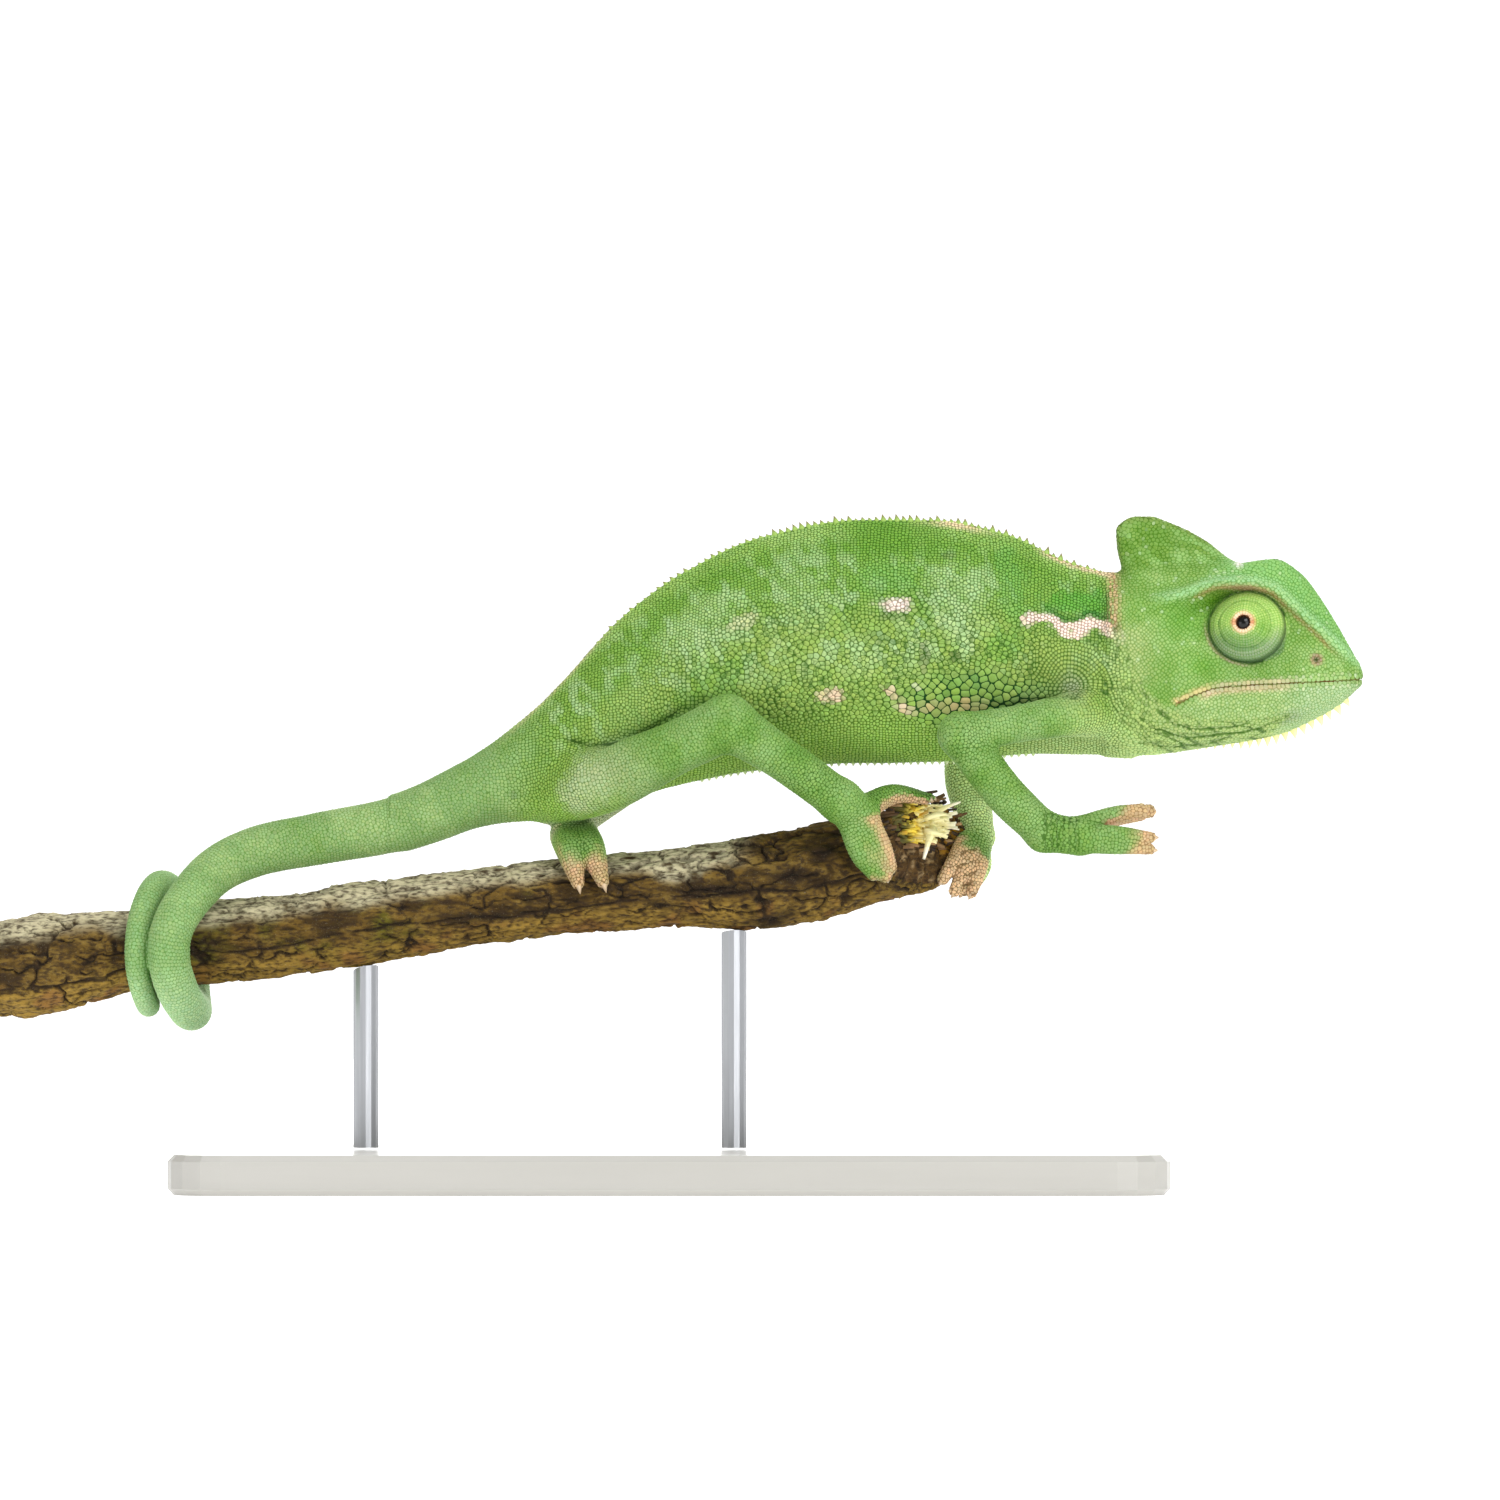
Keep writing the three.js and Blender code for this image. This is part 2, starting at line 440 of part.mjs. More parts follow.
const tail = tailStations();
const wood = branch().subtract(beyondBreak());
const fatWood = branch(GAP).subtract(beyondBreak().translate([GAP, -GAP, 0]));
const bodyAround = [trunkLoft(TAIL_ROOT_X - GAP, NECK_X[0], 17, GAP), trunkLoft(NECK_X[0], NECK_X[1], 3, GAP), headLoft(GAP)];
const tailPiece = (i, grow) => {
  const [from, to] = [TAIL_CUTS[i], TAIL_CUTS[i + 1]];
  return limb(tail, {
    from: from + (i ? 0.003 : 0), to, rings: Math.round(50 * (to - from)), grow, sides: 9, round: false,
  });
};
for (let i = 0; i + 1 < TAIL_CUTS.length; i++) {
  const around = i > 2 ? [tailPiece(i - 3, GAP / 2), tailPiece(i - 2, GAP / 2)] : [];
  add(`tail_${i + 1}`, clearOf(tailPiece(i, 0), bodyAround[0], fatWood, ...around), "limb");
}
add("branch", wood, "bark");

for (const [name, spec] of Object.entries(LEGS)) {
  for (const [part, piece] of leg(spec, [...bodyAround, fatWood])) {
    const suffix = { inner: "inner_toes", outer: "outer_toes" }[part] ?? part;
    add(`${name}_${suffix}`, piece, "limb");
  }
}

add("stand_base", standBase(), "base");
ROD.places.forEach((x, i) => add(`stand_rod_${i + 1}`, clearOf(standRod(x), fatWood), "rod"));

export default chameleon;
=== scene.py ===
"""A young veiled chameleon on a cut length of branch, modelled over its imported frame.

The animal's flesh is one seamless skin, joined from signed distances. Every scale is a small domed plate
that lies on it. Eyes, claws, spines, bark and wood are separate pieces. Lengths are millimetres until a mesh
is made of them.
"""

import logging
import math
from collections.abc import Iterable, Sequence
from dataclasses import dataclass, field
from enum import Enum

import bpy
import numpy as np
import openvdb as vdb
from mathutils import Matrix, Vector
from mathutils.bvhtree import BVHTree
from mathutils.kdtree import KDTree


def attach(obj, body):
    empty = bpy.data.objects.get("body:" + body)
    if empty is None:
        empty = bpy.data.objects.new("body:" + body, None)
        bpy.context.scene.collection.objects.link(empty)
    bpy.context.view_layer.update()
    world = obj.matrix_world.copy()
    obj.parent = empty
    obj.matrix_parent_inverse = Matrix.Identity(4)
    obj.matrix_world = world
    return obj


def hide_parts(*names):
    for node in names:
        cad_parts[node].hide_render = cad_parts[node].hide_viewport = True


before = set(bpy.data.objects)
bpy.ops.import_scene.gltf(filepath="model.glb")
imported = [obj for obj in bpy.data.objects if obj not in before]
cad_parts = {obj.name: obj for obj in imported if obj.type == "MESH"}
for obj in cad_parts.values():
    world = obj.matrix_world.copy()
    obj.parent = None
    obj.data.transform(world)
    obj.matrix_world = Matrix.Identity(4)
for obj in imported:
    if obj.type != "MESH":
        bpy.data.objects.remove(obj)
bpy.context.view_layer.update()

log = logging.getLogger("chameleon")

MM = 0.001
Points = np.ndarray
Station = tuple[float, float, float, float]
Knots = tuple[tuple[float, float], ...]
Colour = tuple[float, float, float]

SKIN_STEP = 0.245  # the spacing of the skin's points
COAT_DEPTH = 0.12  # how far the skin lies inside the solids
ROOT_REACH = 6.5  # how far about a leg's root its fillet is wider
BROAD = 0.46  # scales with a wider spacing than this are broad ones
STRETCH = np.array([0.68, 1.0, 1.32])  # broad scales are even once the flank is stretched so
PATCH = 0.003  # how wide a scale or spine is on its piece's OFBake map
REACH = 0.62  # how far a scale's corners may be from its middle, for its spacing
FAR = 4.0  # the distance that stands for "nowhere near"
TINY = 1e-9  # what keeps a division from being by nothing
UP = np.array([0.0, 0.0, 1.0])
ASKEW = np.array([0.3, 0.2, 1.0])  # a direction that no scale faces
LARGE = 0.58  # plates with a wider spacing than this have more corners
RIMS = (7, 13)  # how many corners a small and a large plate have


# ---------------------------------------------------------------- numbers


def linear(hex_colour: str) -> np.ndarray:
    """A colour such as "6fa83f" as linear light, which is what shaders read."""
    srgb = np.array([int(hex_colour[i : i + 2], 16) for i in (0, 2, 4)]) / 255
    return np.where(srgb <= 0.04045, srgb / 12.92, ((srgb + 0.055) / 1.055) ** 2.4)


def smooth(low: float, high: float, value: Points) -> Points:
    """0 below low, 1 above high and an even turn between them."""
    t = np.clip((np.asarray(value) - low) / (high - low), 0, 1)
    return t * t * (3 - 2 * t)


def unit(vectors: Points) -> Points:
    """The same directions with a length of 1."""
    return vectors / np.maximum(np.linalg.norm(vectors, axis=-1, keepdims=True), TINY)


def bump(distance: Points, width: float) -> Points:
    """1 at no distance, falling smoothly to nothing a few widths away."""
    return np.exp(-((distance / width) ** 2))


def turns(count: int) -> Points:
    """That many even angles round a circle."""
    return np.linspace(0, 2 * math.pi, count, endpoint=False)


def spokes(first: Points, second: Points, turn: Points) -> Points:
    """Unit vectors at each angle, in the plane of two directions across each other."""
    return first[..., None, :] * np.cos(turn)[..., None] + second[..., None, :] * np.sin(turn)[..., None]


def vectors(x: Points | float, y: Points | float = 0.0, z: Points | float = 0.0) -> Points:
    """Vectors from their three parts, some of which may be the same for all."""
    return np.stack(np.broadcast_arrays(x, y, z), axis=-1).astype(float)


def travelled(path: Points) -> Points:
    """How far along a path each of its corners is."""
    return np.concatenate([[0], np.cumsum(np.linalg.norm(np.diff(path, axis=0), axis=1))])


def spot(points: Points, x: float, z: float, length: float, height: float) -> Points:
    """1 at a place seen from the side, falling smoothly to nothing a few lengths and heights away."""
    return bump(np.hypot((points[:, 0] - x) / length, (points[:, 2] - z) / height), 1)


def hashed(cells: Points, seed: int) -> Points:
    """A repeatable number from 0 to 1 for each whole-numbered cell.

    Args:
        cells: Whole numbers, three to a cell.
        seed: Which of many such patterns to give.

    Returns:
        One number for each cell.
    """
    mixed = cells.astype(np.int64) @ np.array([73856093, 19349663, 83492791]) + seed * 2654435761
    mixed = (mixed ^ (mixed >> 13)) * 1274126177 & 0x7FFFFFFF
    mixed = (mixed ^ (mixed >> 15)) * 668265263 & 0x7FFFFFFF
    return (mixed ^ (mixed >> 14) & 0x7FFFFFFF) / 0x7FFFFFFF


def noise(points: Points, size: float | Sequence[float], seed: int = 0, octaves: int = 3) -> Points:
    """Smooth random waves from -1 to 1, the same on every run.

    Args:
        points: Where to read it.
        size: How far apart its waves are, along each axis.
        seed: Which pattern to give.
        octaves: How many finer layers are added, each half as strong.

    Returns:
        One number for each point.
    """
    total, weight = np.zeros(len(points)), 0.0
    for octave in range(octaves):
        at = points / (np.asarray(size) / 2**octave) + 31.7 * octave
        cell = np.floor(at).astype(np.int64)
        part = at - cell
        part = part * part * (3 - 2 * part)
        value = np.zeros(len(points))
        for corner in np.ndindex(2, 2, 2):
            share = np.prod(np.where(corner, part, 1 - part), axis=1)
            value += share * hashed(cell + corner, seed + octave)
        total += (2 * value - 1) * 0.5**octave
        weight += 0.5**octave
    return total / weight


def drift(points: Points, size: float, seed: int) -> Points:
    """Smooth random vectors, from three such patterns."""
    return np.stack([noise(points, size, seed + k, 2) for k in range(3)], axis=1)


def cells(flat: Points, seed: int) -> tuple[Points, Points]:
    """A net of uneven cells, each about one unit across and set like bricks.

    Args:
        flat: Where to read it, two numbers to a place.
        seed: Which of many such nets to give.

    Returns:
        How far each place is from its cell's edge, and a number from 0 to 1 that each cell has of its own.
    """
    first, second, own = np.full(len(flat), 9.0), np.full(len(flat), 9.0), np.zeros(len(flat))
    for step in np.ndindex(3, 3):
        cell = np.floor(flat) + step - 1
        key = np.insert(cell, 2, 0, axis=1)
        middle = cell + [0.3, 0.15] + 0.7 * np.stack([hashed(key, seed), hashed(key, seed + 1)], 1)
        middle[:, 0] += 0.4 * (cell[:, 1] % 2) - 0.2
        away = np.linalg.norm(middle - flat, axis=1)
        own = np.where(away < first, hashed(key, seed + 2), own)
        first, second = np.minimum(first, away), np.minimum(second, np.maximum(first, away))
    return second - first, own


@dataclass(frozen=True)
class Profile:
    """A smooth function through (place, value) knots that doesn't overshoot between them."""

    knots: Knots

    def __call__(self, place: Points | float) -> Points:
        """The value at each place. Beyond the ends it stays at the last value."""
        xs, ys = np.array(self.knots).T
        widths, slopes = np.diff(xs), np.diff(ys) / np.diff(xs)
        tangents = np.zeros(len(xs))
        tangents[[0, -1]] = slopes[[0, -1]]
        before, after = slopes[:-1], slopes[1:]
        same_way = before * after > 0
        tangents[1:-1] = np.where(same_way, 2 * before * after / np.where(same_way, before + after, 1), 0)
        at = np.asarray(place, float)
        i = np.clip(np.searchsorted(xs, at, side="right") - 1, 0, len(widths) - 1)
        t = np.clip((at - xs[i]) / widths[i], 0, 1)
        return (
            (2 * t**3 - 3 * t**2 + 1) * ys[i]
            + (t**3 - 2 * t**2 + t) * widths[i] * tangents[i]
            + (3 * t**2 - 2 * t**3) * ys[i + 1]
            + (t**3 - t**2) * widths[i] * tangents[i + 1]
        )


def spline(points: Points, shares: Points) -> Points:
    """Places along a centripetal curve through points.

    Args:
        points: The points that it passes through.
        shares: How far along each place is, from 0 to 1, where each gap between points counts the same.

    Returns:
        One place for each share.
    """
    ends = [2 * points[0] - points[1]], [2 * points[-1] - points[-2]]
    padded = np.concatenate([ends[0], points, ends[1]])
    at = np.clip(shares, 0, 1) * (len(points) - 1)
    i = np.minimum(at.astype(int), len(points) - 2)
    t = (at - i)[:, None]
    p0, p1, p2, p3 = (padded[i + k] for k in range(4))
    d0, d1, d2 = (np.sqrt(np.linalg.norm(b - a, axis=1))[:, None] for a, b in ((p0, p1), (p1, p2), (p2, p3)))
    m1 = ((p1 - p0) / d0 - (p2 - p0) / (d0 + d1) + (p2 - p1) / d1) * d1
    m2 = ((p2 - p1) / d1 - (p3 - p1) / (d1 + d2) + (p3 - p2) / d2) * d1
    return p1 + m1 * t + (3 * (p2 - p1) - 2 * m1 - m2) * t**2 + (2 * (p1 - p2) + m1 + m2) * t**3


def path_distance(points: Points, path: Points) -> tuple[Points, Points]:
    """How far points are from a path of straight lengths.

    Args:
        points: Where to measure from.
        path: The path's corners.

    Returns:
        The distance of each point, and the share of the path's length at its nearest place.
    """
    best = np.full(len(points), np.inf)
    share = np.zeros(len(points))
    lengths, before = np.linalg.norm(np.diff(path, axis=0), axis=1), travelled(path)
    for i, (start, length) in enumerate(zip(path[:-1], lengths, strict=True)):
        way = (path[i + 1] - start) / max(length, 1e-6)
        along = np.clip((points - start) @ way, 0, length)
        distance = np.linalg.norm(points - start - along[:, None] * way, axis=1)
        nearer = distance < best
        best = np.where(nearer, distance, best)
        share = np.where(nearer, (before[i] + along) / before[-1], share)
    return best, share


# ---------------------------------------------------------------- meshes


@dataclass
class Shell:
    """The points and faces of a closed form, in millimetres."""

    points: Points
    quads: Points = field(default_factory=lambda: np.zeros((0, 4), np.int64))
    tris: Points = field(default_factory=lambda: np.zeros((0, 3), np.int64))

    @staticmethod
    def loft(rings: Points) -> "Shell":
        """A skin through rings of points, closed at both ends by a fan about the ring's middle.

        Args:
            rings: An array of rings, each with the same number of points.
        """
        count, sides = rings.shape[:2]
        ring, side = np.meshgrid(np.arange(count - 1), np.arange(sides), indexing="ij")
        here, beside = ring * sides + side, ring * sides + (side + 1) % sides
        quads = np.stack([here, beside, beside + sides, here + sides], axis=-1).reshape(-1, 4)
        points = np.concatenate([rings.reshape(-1, 3), rings[:1].mean(1), rings[-1:].mean(1)])
        j = np.arange(sides)
        k = (j + 1) % sides
        last = (count - 1) * sides
        start = np.stack([np.full(sides, count * sides), k, j], axis=1)
        end = np.stack([np.full(sides, count * sides + 1), last + j, last + k], axis=1)
        return Shell(points, quads, np.concatenate([start, end]))

    @staticmethod
    def joined(shells: Iterable["Shell"]) -> "Shell":
        """Several shells as one, with their faces kept apart."""
        shells = list(shells)
        starts = np.cumsum([0] + [len(s.points) for s in shells[:-1]])
        return Shell(
            np.concatenate([s.points for s in shells]),
            np.concatenate([s.quads + n for s, n in zip(shells, starts, strict=True)]),
            np.concatenate([s.tris + n for s, n in zip(shells, starts, strict=True)]),
        )

    def normals(self) -> Points:
        """The way out of the skin at each point."""
        out = np.zeros_like(self.points, dtype=float)
        for faces in (self.quads, self.tris):
            if len(faces):
                corners = self.points[faces]
                across = np.cross(corners[:, 2] - corners[:, 0], corners[:, -1] - corners[:, 1])
                if faces.shape[1] == 3:
                    across = np.cross(corners[:, 1] - corners[:, 0], corners[:, 2] - corners[:, 0])
                for k in range(faces.shape[1]):
                    for axis in range(3):
                        out[:, axis] += np.bincount(faces[:, k], across[:, axis], len(out))
        return unit(out)

    def mesh(self, name: str) -> bpy.types.Mesh:
        """A smooth-shaded Blender mesh of it, in metres."""
        made = bpy.data.meshes.new(name)
        made.vertices.add(len(self.points))
        made.vertices.foreach_set("co", (self.points * MM).astype(np.float32).ravel())
        corners = np.concatenate([self.quads.ravel(), self.tris.ravel()]).astype(np.int32)
        sizes = np.concatenate([np.full(len(self.quads), 4), np.full(len(self.tris), 3)])
        starts = np.concatenate([[0], np.cumsum(sizes)[:-1]]).astype(np.int32)
        made.loops.add(len(corners))
        made.loops.foreach_set("vertex_index", corners)
        made.polygons.add(len(sizes))
        made.polygons.foreach_set("loop_start", starts)
        made.update(calc_edges=True)
        made.validate()
        made.shade_smooth()
        return made


def paint(mesh: bpy.types.Mesh, name: str, colours: Points) -> None:
    """Gives a mesh a colour for each of its points.

    Args:
        mesh: The mesh.
        name: What shaders call the colours.
        colours: Linear red, green and blue for each point.
    """
    layer = mesh.color_attributes.new(name, "FLOAT_COLOR", "POINT")
    rgba = np.concatenate([colours, np.ones((len(colours), 1))], axis=1)
    layer.data.foreach_set("color", rgba.astype(np.float32).ravel())


def measure(mesh: bpy.types.Mesh, name: str, values: Points) -> None:
    """Gives a mesh a number for each of its points, under a name that shaders read."""
    layer = mesh.attributes.new(name, "FLOAT", "POINT")
    layer.data.foreach_set("value", np.asarray(values, np.float32))


def bake_map(mesh: bpy.types.Mesh, flat: Points) -> None:
    """Gives a mesh its OFBake map, from one place for each of its points."""
    corner = np.zeros(len(mesh.loops), np.int32)
    mesh.loops.foreach_get("vertex_index", corner)
    mesh.uv_layers.new(name="OFBake").data.foreach_set("uv", flat[corner].astype(np.float32).ravel())


def place(
    name: str, mesh: bpy.types.Mesh, finish: bpy.types.Material, slot: str, nodes: Sequence[str] = ()
) -> bpy.types.Object:
    """Puts a finished piece into the scene, riding on the still body.

    Args:
        name: The piece's name.
        mesh: Its mesh.
        finish: Its material.
        slot: The record's material slot; it is not used.
        nodes: The CAD nodes that it stands for.

    Returns:
        The piece.
    """
    piece = bpy.data.objects.new(name, mesh)
    bpy.context.scene.collection.objects.link(piece)
    mesh.materials.append(finish)
    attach(piece, "root")
    if nodes:
        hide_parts(*nodes)
    log.info("%s: %d points, %d faces", name, len(mesh.vertices), len(mesh.polygons))
    return piece


# ---------------------------------------------------------------- clay


class Clay:
    """A block of signed distances in which forms are joined softly, as clay is."""

    def __init__(self, low: Sequence[float], high: Sequence[float], step: float) -> None:
        """Makes an empty block between two corners, with a sample at each step."""
        self.step = step
        self.low = np.floor(np.array(low) / step).astype(int)
        self.size = np.ceil(np.array(high) / step).astype(int) - self.low + 1
        self.distances = np.full(self.size, FAR, np.float32)

    def sampled(self, shell: Shell, band: float) -> tuple[tuple[slice, ...], Points, Points]:
        """The signed distance to a shell in the window around it.

        Args:
            shell: The closed form.
            band: How far from the form the distances are true.

        Returns:
            The window in the block, the distances in it, and its first sample's whole-numbered place.
        """
        grid = vdb.FloatGrid.createLevelSetFromPolygons(
            shell.points.astype(np.float32),
            triangles=shell.tris.astype(np.uint32),
            quads=shell.quads.astype(np.uint32),
            transform=vdb.createLinearTransform(voxelSize=self.step),
            halfWidth=band / self.step,
        )
        low = np.floor((shell.points.min(0) - band) / self.step).astype(int)
        high = np.ceil((shell.points.max(0) + band) / self.step).astype(int) + 1
        low, high = np.maximum(low, self.low), np.minimum(high, self.low + self.size)
        near = np.empty(high - low, np.float32)
        grid.copyToArray(near, ijk=tuple(int(v) for v in low))
        return tuple(slice(a, b) for a, b in zip(low - self.low, high - self.low, strict=True)), near, low

    def join(
        self, shell: Shell, blend: float, root: Sequence[float] | None = None, root_blend: float = 0
    ) -> None:
        """Adds a form, with a soft fillet where it meets what is there.

        Args:
            shell: The closed form.
            blend: How wide the fillet is.
            root: A place about which the fillet is wider, such as a hip.
            root_blend: How much wider it is there.
        """
        window, near, low = self.sampled(shell, blend + root_blend + 2 * self.step)
        width: Points | float = blend
        if root is not None:
            axes = [(low[i] + np.arange(near.shape[i])) * self.step - root[i] for i in range(3)]
            away = np.sqrt(
                axes[0][:, None, None] ** 2 + axes[1][None, :, None] ** 2 + axes[2][None, None, :] ** 2
            )
            width = (blend + root_blend * bump(away, ROOT_REACH)).astype(np.float32)
        here = self.distances[window]
        overlap = np.maximum(width - np.abs(here - near), 0) / width
        self.distances[window] = np.minimum(here, near) - overlap**2 * width / 4

    def carve(self, shell: Shell, blend: float) -> None:
        """Takes a form away, with a soft edge of that width."""
        window, near, _ = self.sampled(shell, blend + 2 * self.step)
        here = self.distances[window]
        overlap = np.maximum(blend - np.abs(here + near), 0) / blend
        self.distances[window] = np.maximum(here, -near) + overlap**2 * blend / 4

    def surface(self) -> Shell:
        """The skin of the block's forms, as an even net of quads."""
        grid = vdb.FloatGrid(FAR)
        grid.copyFromArray(self.distances, ijk=tuple(int(v) for v in self.low), tolerance=0.0)
        grid.transform = vdb.createLinearTransform(voxelSize=self.step)
        points, quads = grid.convertToQuads(isovalue=0.0)[:2]
        return Shell(points.astype(float), quads.astype(np.int64))


@dataclass(frozen=True)
class Limb:
    """A round limb along (x, y, z, radius) stations."""

    stations: tuple[Station, ...]
    rounded: bool = True
    inset: float = COAT_DEPTH

    def frames(self, shares: Points) -> tuple[Points, Points, Points, Points, Points]:
        """The middle, the two directions across, the direction along and the radius at each share of it."""
        table = np.array(self.stations)
        middle = spline(table[:, :3], shares)
        along = unit(spline(table[:, :3], shares + 1e-3) - spline(table[:, :3], shares - 1e-3))
        knots = tuple(zip(np.linspace(0, 1, len(table)), table[:, 3], strict=True))
        radius = Profile(knots)(shares) - self.inset
        across, start = [], np.array([0.0, 1.0, 0.0])
        for way in along:
            start = start - way * (start @ way)
            start /= np.linalg.norm(start)
            across.append(start)
        across = np.array(across)
        return middle, across, np.cross(along, across), along, radius

    def shell(self, rings: int = 48, sides: int = 40) -> Shell:
        """The limb's skin, with domed ends if it is rounded."""
        middle, across, side, along, radius = self.frames(np.linspace(0, 1, rings))
        dome = np.radians(np.linspace(82, 12, 7)) if self.rounded else np.zeros(0)
        order = np.concatenate([np.zeros(len(dome), int), np.arange(rings), np.full(len(dome), rings - 1)])
        ahead = np.concatenate([-np.sin(dome), np.zeros(rings), np.sin(dome[::-1])])
        share = np.concatenate([np.cos(dome), np.ones(rings), np.cos(dome[::-1])])
        ways = spokes(across[order], side[order], turns(sides))
        centre = middle[order] + along[order] * (ahead * radius[order])[:, None]
        return Shell.loft(centre[:, None] + ways * (share * radius[order])[:, None, None])

    def rows(self, pitch: float) -> Points:
        """Places for scales, in rings round the limb, each ring set half a scale on from the last."""
        samples = 400
        middle = self.frames(np.linspace(0, 1, samples))[0]
        gone = travelled(middle)
        shares = np.interp(np.arange(0, gone[-1], pitch * 0.9), gone, np.linspace(0, 1, samples))
        made = []
        for i, (centre, across, side, _, radius) in enumerate(zip(*self.frames(shares), strict=True)):
            count = max(5, round(2 * math.pi * radius / pitch))
            turn = 2 * math.pi * (np.arange(count) + 0.5 * (i % 2)) / count
            made.append(centre + radius * spokes(across, side, turn))
        return np.concatenate(made)

    def line(self, count: int = 24) -> Points:
        """Points along the limb's middle."""
        return self.frames(np.linspace(0, 1, count))[0]


# ---------------------------------------------------------------- trunk


@dataclass(frozen=True)
class Trunk:
    """The deep, narrow trunk and neck, from the vent to the back of the skull."""

    back: Profile = Profile(
        ((-34, 48.3), (-24, 53.6), (-14, 63.2), (-6, 71.7), (2, 77.5), (12, 81.9), (24, 83.9), (33, 83.9),
         (42, 82.1),
         (50, 78.6), (58, 76.4))
    )
    belly: Profile = Profile(
        (
            (-34, 43.4), (-24, 45.9), (-16, 46), (-8, 47.6), (0, 50.2), (10, 52.2), (22, 53.2), (34, 53.4),
            (46, 54.4), (58, 54.2)
        )
    )
    half_width: Profile = Profile(
        ((-34, 2.4), (-24, 3.6), (-14, 5.2), (-4, 6.6), (8, 7.6), (22, 8.1), (36, 7.6), (48, 6.4), (58, 5.8))
    )
    reach: tuple[float, float] = (-34, 57.5)
    fullness: tuple[float, float] = (0.84, 0.78)  # how low its widest place is, and how round its section is
    net: tuple[int, int] = (190, 120)  # how many sections it has, and points in each

    def rings(self, places: Points, sides: int) -> Points:
        """Upright sections at each place: widest below the middle and narrow along the back."""
        turn = turns(sides)
        height = (1 - np.cos(turn)) / 2
        width = np.maximum(np.sin(math.pi * height ** self.fullness[0]), 0) ** self.fullness[1]
        depth = self.back(places) - self.belly(places) - 2 * COAT_DEPTH
        x = np.repeat(places[:, None], sides, 1)
        y = (self.half_width(places) - COAT_DEPTH)[:, None] * (np.sign(np.sin(turn)) * width)[None]
        z = self.belly(places)[:, None] + COAT_DEPTH + depth[:, None] * height[None]
        return np.stack([x, y, z], axis=-1)

    def shell(self) -> Shell:
        """The trunk's skin before the legs are joined."""
        return Shell.loft(self.rings(np.linspace(*self.reach, self.net[0]), self.net[1]))

    def rows(self, pitch: float, ahead: float) -> Points:
        """Places for scales, in lines that run along the body and start from the middle of the back.

        Args:
            pitch: How far apart the lines are.
            ahead: How far apart the places in a line are.
        """
        made = []
        places = np.arange(self.reach[0] - 1, self.reach[1] + 2, ahead)
        fine = 361
        for ring in self.rings(places, 2 * (fine - 1)):
            half = ring[fine - 1 :: -1]  # from the back's middle down one side to the belly's
            gone = travelled(half)
            downs = np.arange(pitch / 2, gone[-1], pitch)
            side = np.stack([np.interp(downs, gone, half[:, axis]) for axis in range(3)], axis=1)
            made += [side, side * [1, -1, 1]]
        return np.concatenate(made)


# ---------------------------------------------------------------- head


